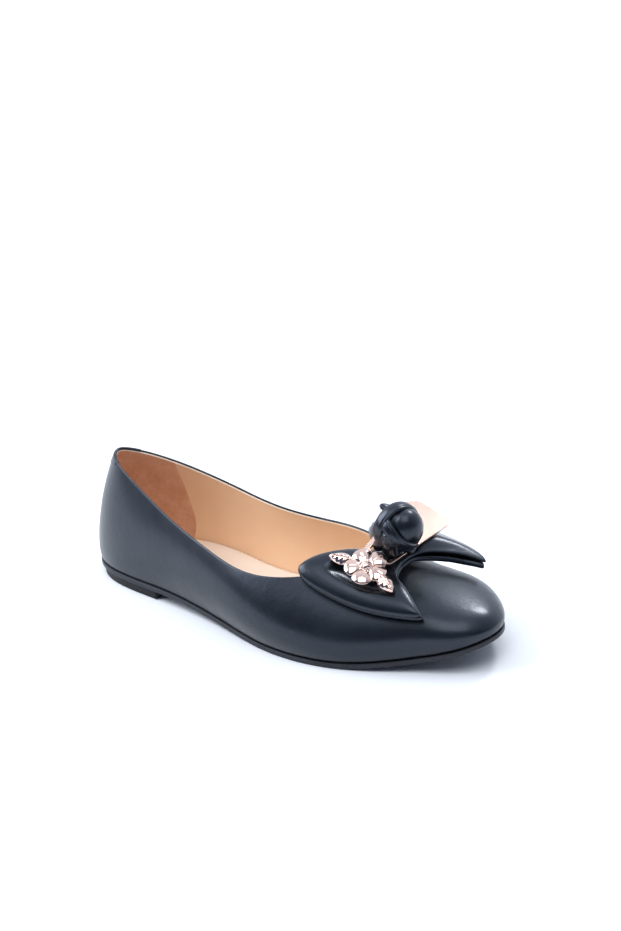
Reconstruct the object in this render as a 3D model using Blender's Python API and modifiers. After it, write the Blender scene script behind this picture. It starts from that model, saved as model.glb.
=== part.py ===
"""Ballet flat with a padded bow, right foot. Metres, +X to the toe, +Y to the inner side, +Z up.

The origin is under the middle of the heel block, on the floor. Everything is worked out from a
last: a feather line round the foot, a ridge above it, and one curve from the line to the ridge.
"""

import bmesh
import bpy
import numpy as np
from mathutils import Matrix, Vector

# Last and sole
FOOT_LENGTH = 0.246  # back of the heel to the toe
BALL_WIDTH = 0.082
HEEL_WIDTH = 0.050
RIDGE_HEIGHT = 0.0423  # floor to the middle of the throat
COLLAR_HEIGHT = 0.0700  # floor to the back of the collar
TOE_SPRING = 0.0142
HEEL_LIFT = 0.0052  # floor to the sole's underside at the heel
HEEL_BLOCK_LENGTH = 0.0515
HEEL_BLOCK_INSET = 0.0007
FEATHER_TUCK = 0.0036  # how far the feather line can lie in under the toe and the heel
SOLE_THICKNESS = 0.0026
SOLE_MARGIN = 0.0008  # how far the sole stands out past the feather line
SOLE_EDGE_RADIUS = 0.0004
INSOLE_THICKNESS = 0.0022
UPPER_WALL = 0.0016
FIT_GAP = 0.0003  # between pieces that touch

# Bow, knot and metal
BOW_BASE_THICKNESS = 0.0026
BOW_RIM_THICKNESS = 0.0052
BOW_NECK_THICKNESS = 0.0036
BOW_DISH_DEPTH = 0.0034
KNOT_LENGTH = 0.0225
KNOT_WIDTH = 0.0182
KNOT_HEIGHT = 0.0235
KNOT_AHEAD = 0.0013  # from the middle of the bow to the middle of the ball
KNOT_INWARD = 0.0017
KNOT_LIFT = 0.0148  # bow to the middle of the ball
STRAP_WIDTH = 0.0066
STRAP_THICKNESS = 0.0030
STRAND_WIDTH = 0.0068
PLATE_WIDTH = 0.0255  # along the shoe, at its bare inner end
PLATE_REACH = 0.0420  # across the shoe, from the middle of the knot
PLATE_THICKNESS = 0.0015
PLATE_LIFT = 0.0027
PLATE_OPENING_WIDTH = 0.0146
PLATE_OPENING_LENGTH = 0.0200
PLATE_ARM_WIDTH = 0.0016
PLATE_ARM_LEAN = 0.0012  # how far the front arm leans back at its outer end
BLOSSOM_WIDTH = 0.0215
BLOSSOM_HEIGHT = 0.0040
BLOSSOM_DROP_ANGLE = 0.35  # radians that it hangs down from the plate
LEAF_LENGTH = 0.0125
LEAF_WIDTH = 0.0070

# Places along the shoe, as shares of the foot length
ARCH_START_SHARE, TREAD_START_SHARE, TREAD_END_SHARE = 0.20, 0.55, 0.67
RIDGE_START_SHARE, RIDGE_END_SHARE = 0.15, 0.95
BOW_PLACE_SHARE = 0.742
BOW_CORNER_SHARE = 0.05  # of a wing, drawn in at its corners


def columns(names, rows):
    """A table as one array for each named column."""
    return dict(zip(names.split(), np.array(rows, float).T))


# Half widths of the feather line, as shares of a width that goes from the heel's to the ball's.
OUTLINE = columns(
    "share ball outer inner",
    [
        (0.06, 0.0, 0.386, 0.336),
        (0.15, 0.0, 0.488, 0.496),
        (0.28, 0.3, 0.468, 0.430),
        (0.42, 0.7, 0.478, 0.327),
        (0.55, 1.0, 0.516, 0.406),
        (0.66, 1.0, 0.526, 0.473),
        (0.76, 1.0, 0.456, 0.451),
        (0.86, 1.0, 0.330, 0.405),
        (0.94, 1.0, 0.244, 0.277),
    ],
)
# Height of the ridge, as a share of its height at the throat.
RIDGE = columns(
    "share height",
    [(0.12, 1.99), (0.35, 1.60), (0.5, 1.40), (0.6, 1.18), (0.7, 1.0), (0.78, 0.87), (0.86, 0.794), (0.95, 0.666)],
)
# The curve between them: how far its foot is tucked in, as a share of FEATHER_TUCK, how it leans out,
# how high it stays steep, and how far it lies flat.
SECTION = columns(
    "share tuck lean steep flat",
    [
        (0.0, 0.458, 0.074, 0.081, 0.684),
        (0.07, 0.222, 0.083, 0.15, 0.695),
        (0.2, 0.0, 0.153, 0.395, 0.645),
        (0.5, 0.0, 0.31, 0.51, 0.64),
        (0.75, 0.0, 0.242, 0.51, 0.62),
        (0.9, 0.10, 0.295, 0.616, 0.744),
        (1.0, 0.527, 0.295, 0.616, 0.741),
    ],
)
# Height of the collar's edge seen from the side, as a share of its height at the back.
COLLAR = columns(
    "share height",
    [(0.0, 1.0), (0.12, 0.875), (0.25, 0.705), (0.38, 0.60), (0.5, 0.541), (0.58, 0.546), (0.66, 0.578), (0.72, 0.62)],
)
# Bow wings from the neck to the outer edge: place along the shoe of the rear and front edge, how
# far out from the ridge (1 is on it), and the lift off the shoe in wing thicknesses.
OUTER_WING = columns(
    "reach rear front rear_up mid_up front_up rear_lift mid_lift front_lift",
    [
        (0.00, -0.036, 0.036, 1.00, 1.00, 1.00, 0.0, 0.0, 0.0),
        (0.30, -0.066, 0.055, 0.92, 0.89, 0.86, 0.1, 0.0, 0.0),
        (0.65, -0.116, 0.098, 0.79, 0.71, 0.75, 0.2, 0.1, 0.1),
        (1.00, -0.163, 0.160, 0.61, 0.526, 0.48, 0.2, 0.1, 0.3),
    ],
)
INNER_WING = columns(
    "reach rear front rear_up mid_up front_up rear_lift mid_lift front_lift",
    [
        (0.00, -0.036, 0.036, 1.00, 1.00, 1.00, 0.0, 0.0, 0.0),
        (0.30, -0.066, 0.042, 0.92, 0.89, 0.85, 0.1, 0.3, 0.9),
        (0.65, -0.116, 0.087, 0.77, 0.72, 0.69, 0.4, 1.4, 2.1),
        (1.00, -0.158, 0.152, 0.58, 0.51, 0.45, 0.8, 4.6, 1.8),
    ],
)

BLOCK_MIDDLE = HEEL_BLOCK_LENGTH / 2
HOOD_AXIS, CROSS_AXIS = (0.97, -0.22, -0.10), (-0.20, -0.92, -0.32)  # of the two straps round the knot
OUTER, INNER = -1, 1
PART, HELPERS = "ballet_flat", "ballet_flat_helpers"


# The last


def spline(at, knots, values):
    """A natural cubic through the values."""
    h = np.diff(knots)
    n = len(knots)
    left, right = np.eye(n), np.zeros(n)
    for i in range(1, n - 1):
        left[i, i - 1 : i + 2] = h[i - 1], 2 * (h[i - 1] + h[i]), h[i]
        right[i] = 6 * ((values[i + 1] - values[i]) / h[i] - (values[i] - values[i - 1]) / h[i - 1])
    bend = np.linalg.solve(left, right)
    at = np.clip(at, knots[0], knots[-1])
    i = np.clip(np.searchsorted(knots, at) - 1, 0, n - 2)
    a, b = (knots[i + 1] - at) / h[i], (at - knots[i]) / h[i]
    cubic = (a**3 - a) * bend[i] + (b**3 - b) * bend[i + 1]
    return a * values[i] + b * values[i + 1] + cubic * h[i] ** 2 / 6


def turn_at(share):
    """The turn, 0 at the back of the heel and pi at the toe, which spaces points closely at both."""
    return np.arccos(np.clip(1 - 2 * np.asarray(share, float), -1, 1))


def share_at(turn):
    return (1 - np.cos(turn)) / 2


def half_width(side, turn):
    """Half width of the feather line. It mirrors at both ends, so the heel and the toe are round."""
    share, ball = OUTLINE["share"], OUTLINE["ball"]
    half = OUTLINE["outer" if side == OUTER else "inner"] * (HEEL_WIDTH * (1 - ball) + BALL_WIDTH * ball)
    knots, values = np.r_[0, turn_at(share), np.pi], np.r_[0, half, 0]
    knots = np.r_[-knots[3:0:-1], knots, 2 * np.pi - knots[-2:-5:-1]]
    return spline(turn, knots, np.r_[-values[3:0:-1], values, -values[-2:-5:-1]])


def underside(share):
    """Height of the sole's underside: the heel's lift, the arch, the tread and the toe spring."""
    arch = np.clip((TREAD_START_SHARE - share) / (TREAD_START_SHARE - ARCH_START_SHARE), 0, 1)
    toe = np.clip((share - TREAD_END_SHARE) / (1 - TREAD_END_SHARE), 0, 1)
    return HEEL_LIFT * arch * arch * (3 - 2 * arch) + TOE_SPRING * toe**2


def feather(side, turn, inset=0.0, height=0.0):
    """Points of the feather line, moved in square to the line, at a height above the underside."""
    step = 1e-4
    inset = inset + FEATHER_TUCK * spline(share_at(turn), SECTION["share"], SECTION["tuck"])
    x, y = share_at(turn) * FOOT_LENGTH, side * half_width(side, turn)
    dx = np.sin(turn) * FOOT_LENGTH / 2
    dy = side * (half_width(side, turn + step) - half_width(side, turn - step)) / (2 * step)
    size = np.hypot(dx, dy) * side
    x, y = x - inset * -dy / size, y - inset * dx / size
    return np.stack([x, y, underside(np.clip(x / FOOT_LENGTH, 0, 1)) + height], -1)


def ridge(share):
    """Height and slope of the ridge."""
    step = 1e-3
    height = [RIDGE_HEIGHT * spline(share + move, RIDGE["share"], RIDGE["height"]) for move in (-step, 0, step)]
    return height[1], (height[2] - height[0]) / (2 * step * FOOT_LENGTH)


def last(side, turn, up):
    """The last's surface, from the feather line (up = 0) to the ridge (up = 1)."""
    turn, up = np.broadcast_arrays(np.asarray(turn, float), np.asarray(up, float))
    share = share_at(turn)
    foot = feather(side, turn, height=SOLE_THICKNESS + FIT_GAP)
    along = RIDGE_START_SHARE + (RIDGE_END_SHARE - RIDGE_START_SHARE) * share
    height, slope = ridge(along)
    crown = np.stack([along * FOOT_LENGTH, 0 * along, height], -1)
    out = foot - crown
    reach = np.hypot(out[..., 0], out[..., 1])
    out = out / reach[..., None]
    rise = height - foot[..., 2]
    lean, steep, flat = (spline(share, SECTION["share"], SECTION[name]) for name in ("lean", "steep", "flat"))
    low, high = foot.copy(), crown.copy()
    low[..., :2] += out[..., :2] * (lean * rise)[..., None]
    low[..., 2] += steep * rise
    high[..., :2] += out[..., :2] * (flat * reach)[..., None]
    high[..., 2] += slope * out[..., 0] * flat * reach
    u = up[..., None]
    return (1 - u) ** 3 * foot + 3 * (1 - u) ** 2 * u * low + 3 * (1 - u) * u * u * high + u**3 * crown


def outward(side, turn, up):
    """Unit normals of the last."""
    step = 1e-4
    turn = np.clip(turn, 2 * step, np.pi - 2 * step)
    up = np.clip(up, 0, 1)
    high, low = np.minimum(up + step, 1), np.maximum(up - step, 0)
    normal = np.cross(last(side, turn + step, up) - last(side, turn - step, up), last(side, turn, high) - last(side, turn, low))
    return -side * normal / np.linalg.norm(normal, axis=-1)[..., None]


def collar_edge(side, count):
    """(turn, up) of points on the collar's edge, from the back of the heel, where they lie closest, to the throat."""

    def above(turn, up):
        point = last(side, turn, up)
        share = point[..., 0] / FOOT_LENGTH
        return point[..., 2] - COLLAR_HEIGHT * spline(share, COLLAR["share"], COLLAR["height"])

    def cross(below, over, at):
        for _ in range(40):
            middle = (below + over) / 2
            high = above(*at(middle)) > 0
            below, over = np.where(high, below, middle), np.where(high, middle, over)
        return at((below + over) / 2)

    turns = np.linspace(0, turn_at(0.5), 200)
    turn, up = cross(0 * turns, 0 * turns + 1, lambda middle: (turns, middle))
    ups = np.linspace(up[-1], 1, 200)[1:]
    more = cross(0 * ups + turn_at(0.85), 0 * ups + turn_at(0.4), lambda middle: (middle, ups))
    turn, up = np.r_[turn, more[0]], np.r_[up, more[1]]
    run = np.r_[0, np.cumsum(np.linalg.norm(np.diff(last(side, turn, up), axis=0), axis=-1))]
    part_way = np.linspace(0, 1, count)
    at = run[-1] * part_way * (0.35 + 0.65 * part_way)
    return np.interp(at, run, turn), np.interp(at, run, up)


# Making solids


def collection(name):
    found = bpy.data.collections.get(name)
    if not found:
        found = bpy.data.collections.new(name)
        bpy.context.scene.collection.children.link(found)
    return found


def material(name, color, roughness, metallic=0.0):
    made = bpy.data.materials.get(name) or bpy.data.materials.new(name)
    made.use_nodes = True
    surface = made.node_tree.nodes["Principled BSDF"]
    surface.inputs["Base Color"].default_value = (*color, 1)
    surface.inputs["Roughness"].default_value = roughness
    surface.inputs["Metallic"].default_value = metallic
    return made


def solid(name, points, faces, look, smooth=True):
    """An object from points measured from the back of the heel, with its doubled points joined."""
    points = np.asarray(points, float).reshape(-1, 3) - (BLOCK_MIDDLE, 0, 0)
    shape = bmesh.new()
    verts = [shape.verts.new(point) for point in points]
    for face in faces:
        shape.faces.new([verts[i] for i in face])
    bmesh.ops.remove_doubles(shape, verts=shape.verts, dist=1e-6)
    bmesh.ops.recalc_face_normals(shape, faces=shape.faces)
    if shape.calc_volume(signed=True) < 0:
        bmesh.ops.reverse_faces(shape, faces=shape.faces)
    mesh = bpy.data.meshes.new(name)
    shape.to_mesh(mesh)
    shape.free()
    mesh.polygons.foreach_set("use_smooth", [smooth] * len(mesh.polygons))
    mesh.materials.append(look)
    made = bpy.data.objects.new(name, mesh)
    collection(PART).objects.link(made)
    return made


def grid_faces(rows, cols, start=0, closed=False):
    """Quads of a grid of points, row after row. A closed grid joins its last column to its first."""
    last_col = cols if closed else cols - 1
    return [
        (start + r * cols + c, start + r * cols + (c + 1) % cols, start + (r + 1) * cols + (c + 1) % cols, start + (r + 1) * cols + c)
        for r in range(rows - 1)
        for c in range(last_col)
    ]


def slab(name, look, turns, levels):
    """A sheet that follows the feather line. A level is an inset and a function of the share."""
    n = len(turns)
    points = []
    for inset, height in levels:
        for side in (OUTER, INNER):
            edge = feather(side, turns, inset)
            edge[:, 2] = height(np.clip(edge[:, 0] / FOOT_LENGTH, 0, 1))
            points.append(edge)
    faces = []
    for level in range(len(levels) - 1):
        for side in (0, 1):
            a, b = (2 * level + side) * n, (2 * level + 2 + side) * n
            faces += [(a + i, a + i + 1, b + i + 1, b + i) for i in range(n - 1)]
        a = 2 * level * n
        faces += [(a + i, a + n + i, a + 3 * n + i, a + 2 * n + i) for i in (0, n - 1)]
    for a in (0, 2 * (len(levels) - 1) * n):
        faces += [(a + i, a + i + 1, a + n + i + 1, a + n + i) for i in range(n - 1)]
    return solid(name, np.concatenate(points), faces, look)


def join(target, pieces):
    """Makes the pieces one solid with the target."""
    for piece in pieces:
        cut = target.modifiers.new("join_" + piece.name, "BOOLEAN")
        cut.operation, cut.solver, cut.object = "UNION", "EXACT", piece
        piece.hide_render, piece.display_type = True, "WIRE"
        collection(PART).objects.unlink(piece)
        collection(HELPERS).objects.link(piece)


# Sole, heel and insole


def make_sole():
    turns = np.linspace(0, np.pi, 57)
    top = lambda share: underside(share) + SOLE_THICKNESS
    radius = SOLE_EDGE_RADIUS
    slab(
        "outsole",
        material("sole_resin", (0.012, 0.012, 0.013), 0.45),
        turns,
        [
            (radius - SOLE_MARGIN, underside),
            (-SOLE_MARGIN, lambda share: underside(share) + radius),
            (-SOLE_MARGIN, lambda share: top(share) - radius),
            (radius - SOLE_MARGIN, top),
        ],
    )


def make_heel_block():
    turns = np.linspace(0, turn_at(HEEL_BLOCK_LENGTH / FOOT_LENGTH), 22)
    top = lambda share: underside(share) - FIT_GAP
    radius = SOLE_EDGE_RADIUS
    slab(
        "heel_block",
        material("heel_resin", (0.010, 0.010, 0.011), 0.40),
        turns,
        [
            (HEEL_BLOCK_INSET + radius, lambda share: 0 * share),
            (HEEL_BLOCK_INSET, lambda share: 0 * share + radius),
            (HEEL_BLOCK_INSET, top),
        ],
    )


def make_insole():
    turns = np.linspace(0, np.pi, 57)
    inset = UPPER_WALL + 2 * FIT_GAP
    base = lambda share: underside(share) + SOLE_THICKNESS + FIT_GAP
    edge = INSOLE_THICKNESS / 3
    slab(
        "insole",
        material("insole_leather", (0.80, 0.68, 0.55), 0.55),
        turns,
        [
            (inset, base),
            (inset, lambda share: base(share) + 2 * edge),
            (inset + edge, lambda share: base(share) + INSOLE_THICKNESS),
        ],
    )


# Upper


def make_upper():
    """Columns run up from the feather line: to the collar's edge behind the throat, to the ridge ahead."""
    back, front, rows = 29, 20, 9
    points = []
    for side in (OUTER, INNER):
        turn, up = collar_edge(side, back)
        throat = turn[-1]
        ahead = np.linspace(throat, np.pi, front + 1)[1:]
        low = np.r_[throat * np.linspace(0, 1, back) * (0.6 + 0.4 * np.linspace(0, 1, back)), ahead]
        turn, up = np.r_[turn, ahead], np.r_[up, np.ones(front)]
        rise = np.linspace(0, 1, rows)[:, None]
        points.append(last(side, low + (turn - low) * rise, up * rise))
    cols = back + front
    faces = grid_faces(rows, cols) + grid_faces(rows, cols, rows * cols)
    upper = solid("upper", np.concatenate([p.reshape(-1, 3) for p in points]), faces, material("black_calf", (0.012, 0.013, 0.016), 0.32))
    wall = upper.modifiers.new("wall", "SOLIDIFY")
    wall.thickness, wall.offset, wall.use_even_offset = UPPER_WALL, -1, True
    return upper


# Bow


def wing_place(side, reach, across):
    """(turn, up, lift) on the shoe of a point of a wing, across from -1 at the rear to 1 at the front."""
    table = OUTER_WING if side == OUTER else INNER_WING
    at = {name: spline(reach, table["reach"], table[name]) for name in table}
    middle, half = (at["rear"] + at["front"]) / 2, (at["front"] - at["rear"]) / 2
    share = BOW_PLACE_SHARE + middle + half * across

    def bent(name):
        rear, mid, front = (at[part + name] for part in ("rear_", "mid_", "front_"))
        return mid + (front - rear) / 2 * across + ((front + rear) / 2 - mid) * across**2

    return turn_at(share), bent("up"), bent("lift") * BOW_BASE_THICKNESS


def wing_sheet(reach, across, height):
    """Points of a sheet over both wings, reach from -1 (outer side) to 1 (inner side)."""
    found = np.zeros((*np.broadcast(reach, across).shape, 3))
    reach, across, height = np.broadcast_arrays(reach, across, height)
    for side in (OUTER, INNER):
        mine = reach * side >= 0
        turn, up, lift = wing_place(side, np.abs(reach[mine]), across[mine])
        up = np.clip(up, 0, 1)
        normal = outward(side, turn, up)
        found[mine] = last(side, turn, up) + normal * (lift + height[mine])[..., None]
    return found


def pillow(name, look, low, high, rows=11, cols=31):
    """A padded layer of the bow between two heights. Its outline has rounded ends."""
    reach = np.sin(np.linspace(-1, 1, cols) * np.pi / 2)[None, :] * 0.35 + np.linspace(-1, 1, cols)[None, :] * 0.65
    across = np.sin(np.linspace(-1, 1, rows) * np.pi / 2)[:, None]
    # a square grid with its corners drawn in
    reach_in = reach * (1 - BOW_CORNER_SHARE * across**4)
    across_in = across * (1 - BOW_CORNER_SHARE * reach**6)
    edge = np.maximum(np.abs(across), np.abs(reach)) ** 10
    swell = np.sqrt(np.clip(1 - edge, 0, 1))
    middle = (low(reach_in, across_in) + high(reach_in, across_in)) / 2
    half = (high(reach_in, across_in) - low(reach_in, across_in)) / 2
    top = wing_sheet(reach_in, across_in, middle + half * swell)
    bottom = wing_sheet(reach_in, across_in, middle - half * swell)
    count = rows * cols
    faces = grid_faces(rows, cols) + [face[::-1] for face in grid_faces(rows, cols, count)]
    return solid(name, np.concatenate([top.reshape(-1, 3), bottom.reshape(-1, 3)]), faces, look)


def bow_top_height(reach, across):
    """Height of the bow's upper face above the wing's place: a rim round a dish, and the pinched neck."""
    wing = np.clip((np.abs(reach) - 0.12) / 0.35, 0, 1)
    wing = wing * wing * (3 - 2 * wing)
    inside = np.clip(1 - np.sqrt(across**2 + (np.clip((np.abs(reach) - 0.45) / 0.55, 0, 1)) ** 4), 0, 1)
    dish = np.clip(inside / 0.75, 0, 1)
    dish = dish * dish * (3 - 2 * dish)
    rim = BOW_NECK_THICKNESS + (BOW_RIM_THICKNESS - BOW_NECK_THICKNESS) * wing
    return bow_seam() + rim - BOW_DISH_DEPTH * dish * wing


def bow_seam():
    """Height of the upper layer's underside."""
    return 2 * FIT_GAP + BOW_BASE_THICKNESS


def bow_frame():
    """The middle of the bow's upper face: its place, and axes forward along the ridge, in and up."""
    height, slope = ridge(BOW_PLACE_SHARE)
    ahead = Vector((1, 0, slope)).normalized()
    up = Vector((-slope, 0, 1)).normalized()
    place = Vector((BOW_PLACE_SHARE * FOOT_LENGTH - BLOCK_MIDDLE, 0, height)) + up * (bow_seam() + BOW_NECK_THICKNESS)
    return Matrix.Translation(place) @ Matrix((ahead, (0, 1, 0), up)).transposed().to_4x4()


def make_bow():
    leather = material("bow_calf", (0.012, 0.013, 0.016), 0.32)
    pillow(
        "bow_base",
        leather,
        lambda reach, across: FIT_GAP + 0 * reach * across,
        lambda reach, across: FIT_GAP + BOW_BASE_THICKNESS + 0 * reach * across,
    )
    pillow("bow_top", leather, lambda reach, across: bow_seam() + 0 * reach * across, bow_top_height)


# Knot and metal, in the frame of the bow's upper face


def ball(name, size, place, turned=0.0, tipped=0.0, segments=24, rings=14):
    """An ellipsoid of the three sizes, tipped about the axis across the shoe, then turned about the upright."""
    shape = bmesh.new()
    bmesh.ops.create_uvsphere(shape, u_segments=segments, v_segments=rings, radius=0.5)
    pose = Matrix.Translation(place) @ Matrix.Rotation(turned, 4, "Z") @ Matrix.Rotation(tipped, 4, "Y")
    bmesh.ops.transform(shape, verts=shape.verts, matrix=bow_frame() @ pose @ Matrix.Diagonal((*size, 1)))
    return from_bmesh(name, shape)


def band(name, wide, tall, place, facing, look_width, segments=30):
    """A strap round the ball: a flattened ring whose axis is `facing`."""
    section = 8
    shape = bmesh.new()
    rings = []
    for i in range(segments):
        a = 2 * np.pi * i / segments
        ring = []
        for j in range(section):
            b = 2 * np.pi * j / section
            out = STRAP_THICKNESS / 2 * np.cos(b)
            ring.append(shape.verts.new(((wide / 2 + out) * np.cos(a), (tall / 2 + out) * np.sin(a), look_width / 2 * np.sin(b))))
        rings.append(ring)
    for i in range(segments):
        for j in range(section):
            k, m = (i + 1) % segments, (j + 1) % section
            shape.faces.new((rings[i][j], rings[k][j], rings[k][m], rings[i][m]))
    bmesh.ops.recalc_face_normals(shape, faces=shape.faces)
    aim = Vector(facing).to_track_quat("Z", "Y").to_matrix().to_4x4()
    bmesh.ops.transform(shape, verts=shape.verts, matrix=bow_frame() @ Matrix.Translation(place) @ aim)
    return from_bmesh(name, shape)


def from_bmesh(name, shape):
    mesh = bpy.data.meshes.new(name)
    shape.to_mesh(mesh)
    shape.free()
    mesh.polygons.foreach_set("use_smooth", [True] * len(mesh.polygons))
    made = bpy.data.objects.new(name, mesh)
    collection(PART).objects.link(made)
    return made


def make_knot():
    """A leather ball tied from a strap. One turn hoods its back, one crosses its outer side, and two strands run down."""
    middle = Vector((KNOT_AHEAD, KNOT_INWARD, KNOT_LIFT))
    knot = ball("knot", (KNOT_LENGTH, KNOT_WIDTH, KNOT_HEIGHT), middle, turned=0.72)
    knot.data.materials.append(material("bow_calf", (0.012, 0.013, 0.016), 0.32))
    neck = PLATE_OPENING_WIDTH - PLATE_ARM_LEAN - 2 * FIT_GAP
    foot = FIT_GAP + 0.45 * KNOT_LIFT
    join(
        knot,
        [
            band("hood", KNOT_WIDTH * 1.06, KNOT_HEIGHT * 1.02, middle + Vector((-0.13 * KNOT_LENGTH, 0, 0)), HOOD_AXIS, STRAP_WIDTH),
            band("cross", KNOT_LENGTH * 0.86, KNOT_HEIGHT * 0.88, middle + Vector((0, -0.25 * KNOT_WIDTH, 0)), CROSS_AXIS, STRAP_WIDTH),
            ball("neck", (neck, neck, 2 * (foot - FIT_GAP)), (0, 0, foot)),
            ball("strand_rear", (STRAND_WIDTH, STRAND_WIDTH, 1.05 * KNOT_LIFT), (-0.21 * neck, -0.12 * neck, 0.54 * KNOT_LIFT + FIT_GAP), turned=0.3, tipped=0.35, segments=16, rings=10),
            ball("strand_side", (STRAND_WIDTH, STRAND_WIDTH, 1.05 * KNOT_LIFT), (-0.08 * neck, -0.26 * neck, 0.54 * KNOT_LIFT + FIT_GAP), turned=1.3, tipped=0.25, segments=16, rings=10),
            ball("strap_end", (STRAP_WIDTH, STRAP_WIDTH * 0.7, STRAP_THICKNESS * 1.6), middle + Vector((-0.42 * KNOT_LENGTH, -0.1 * KNOT_WIDTH, 0.36 * KNOT_HEIGHT)), turned=0.6, tipped=-0.7, segments=16, rings=8),
        ],
    )


def rounded(corners, radius, steps=7):
    """Points of a closed outline with round corners, each corner a place and its radius's share."""
    points = []
    n = len(corners)
    for i in range(n):
        here = np.array(corners[i][:2])
        before, after = np.array(corners[i - 1][:2]) - here, np.array(corners[(i + 1) % n][:2]) - here
        before, after = before / np.linalg.norm(before), after / np.linalg.norm(after)
        half = np.arccos(np.dot(before, after)) / 2
        size = radius * corners[i][2]
        centre = here + (before + after) / np.linalg.norm(before + after) * size / np.sin(half)
        start, end = here + before * size / np.tan(half) - centre, here + after * size / np.tan(half) - centre
        for k in range(steps):
            t = k / (steps - 1)
            arm = start * (1 - t) + end * t
            points.append(centre + arm / np.linalg.norm(arm) * size)
    return points


def make_plate():
    """A flat plate, bare at its inner end, with an opening round the knot's neck and a bar at its outer end."""
    opening_x, opening_y = PLATE_OPENING_WIDTH / 2, PLATE_OPENING_LENGTH / 2
    front, rear = opening_x + PLATE_ARM_WIDTH, -opening_x - PLATE_ARM_WIDTH
    outer = -opening_y - 1.5 * PLATE_ARM_WIDTH
    inner_rear = front - PLATE_WIDTH
    curve = bpy.data.curves.new("ornament_plate", "CURVE")
    curve.dimensions, curve.fill_mode, curve.extrude = "2D", "BOTH", PLATE_THICKNESS / 2
    outline = [
        (front - PLATE_ARM_LEAN, outer, 0.5),
        (front, PLATE_REACH * 0.93, 1.0),
        (inner_rear, PLATE_REACH, 1.3),
        (inner_rear, PLATE_REACH * 0.66, 0.8),
        (rear, outer, 0.5),
    ]
    lean_x = opening_x - PLATE_ARM_LEAN
    opening = [(x, y, 0.8) for x, y in ((lean_x, -opening_y), (opening_x, opening_y), (-opening_x, opening_y), (-opening_x, -opening_y))]
    for corners in (outline, opening):
        points = rounded(corners, PLATE_WIDTH * 0.2)
        line = curve.splines.new("POLY")
        line.points.add(len(points) - 1)
        line.use_cyclic_u = True
        for point, (x, y) in zip(line.points, points):
            point.co = (x, y, 0, 1)
    plate = bpy.data.objects.new("ornament_plate", curve)
    plate.matrix_world = bow_frame() @ Matrix.Translation((0, 0, PLATE_LIFT + PLATE_THICKNESS / 2))
    curve.materials.append(material("rose_gold", (0.90, 0.62, 0.50), 0.12, 1.0))
    collection(PART).objects.link(plate)


def make_blossom():
    """A cast blossom of five domed petals round a boss, between two leaves."""
    opening_y = PLATE_OPENING_LENGTH / 2
    hinge = Matrix.Translation((0, -opening_y - 1.5 * PLATE_ARM_WIDTH, PLATE_LIFT + PLATE_THICKNESS + FIT_GAP))
    pose = hinge @ Matrix.Rotation(BLOSSOM_DROP_ANGLE, 4, "X") @ Matrix.Translation((0, -0.38 * BLOSSOM_WIDTH, 0))
    around, rings = 50, 9
    shape = bmesh.new()
    rows = []
    for k in range(1, rings + 1):
        r = np.sin(k / rings * np.pi / 2)
        row = []
        for i in range(around):
            angle = 2 * np.pi * i / around
            petal = abs(np.cos(2.5 * angle))
            edge = BLOSSOM_WIDTH / 2 * (0.80 + 0.20 * petal**0.7)
            boss = np.clip(1 - (r / 0.30) ** 2, 0, 1) ** 0.5
            dome = np.clip(1 - ((r - 0.55) / 0.45) ** 2, 0, 1) ** 0.5 if r > 0.3 else 0.55
            height = BLOSSOM_HEIGHT * max(0.30 + 0.45 * dome * (0.45 + 0.55 * petal**0.5), 0.30 + 0.70 * boss)
            row.append(shape.verts.new((edge * r * np.cos(angle), edge * r * np.sin(angle), height)))
        rows.append(row)
    foot = [shape.verts.new((v.co.x, v.co.y, 0)) for v in rows[-1]]
    top = shape.verts.new((0, 0, BLOSSOM_HEIGHT))
    for i in range(around):
        j = (i + 1) % around
        shape.faces.new((top, rows[0][i], rows[0][j]))
        for low, high in zip(rows, [*rows[1:], foot]):
            shape.faces.new((low[i], high[i], high[j], low[j]))
    shape.faces.new(foot[::-1])
    bmesh.ops.transform(shape, verts=shape.verts, matrix=bow_frame() @ pose)
    blossom = from_bmesh("ornament_blossom", shape)
    blossom.data.materials.append(material("rose_gold", (0.90, 0.62, 0.50), 0.12, 1.0))
    leaves = []
    for name, side in (("leaf_rear", -1), ("leaf_front", 1)):
        leaf = bmesh.new()
        bmesh.ops.create_uvsphere(leaf, u_segments=18, v_segments=8, radius=0.5)
        reach = BLOSSOM_WIDTH / 2 + 0.22 * LEAF_LENGTH
        place = Matrix.Translation((side * reach, -0.12 * BLOSSOM_WIDTH, 0.28 * BLOSSOM_HEIGHT)) @ Matrix.Rotation(side * -0.35, 4, "Z")
        size = Matrix.Diagonal((LEAF_LENGTH, LEAF_WIDTH, BLOSSOM_HEIGHT * 0.5, 1))
        bmesh.ops.transform(leaf, verts=leaf.verts, matrix=bow_frame() @ pose @ place @ size)
        leaves.append(from_bmesh(name, leaf))
    join(blossom, leaves)


def main():
    for old in list(bpy.data.objects):
        bpy.data.objects.remove(old)
    make_sole()
    make_heel_block()
    make_insole()
    make_upper()
    make_bow()
    make_knot()
    make_plate()
    make_blossom()


main()
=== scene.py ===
"""Ballet flat for the right foot, with a padded bow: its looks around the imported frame.

Metres, +X to the toe, +Y to the inner side of the foot, +Z up, as in the frame.
"""

import math

import bmesh
import bpy
import numpy as np
from mathutils import Matrix, Vector


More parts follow.
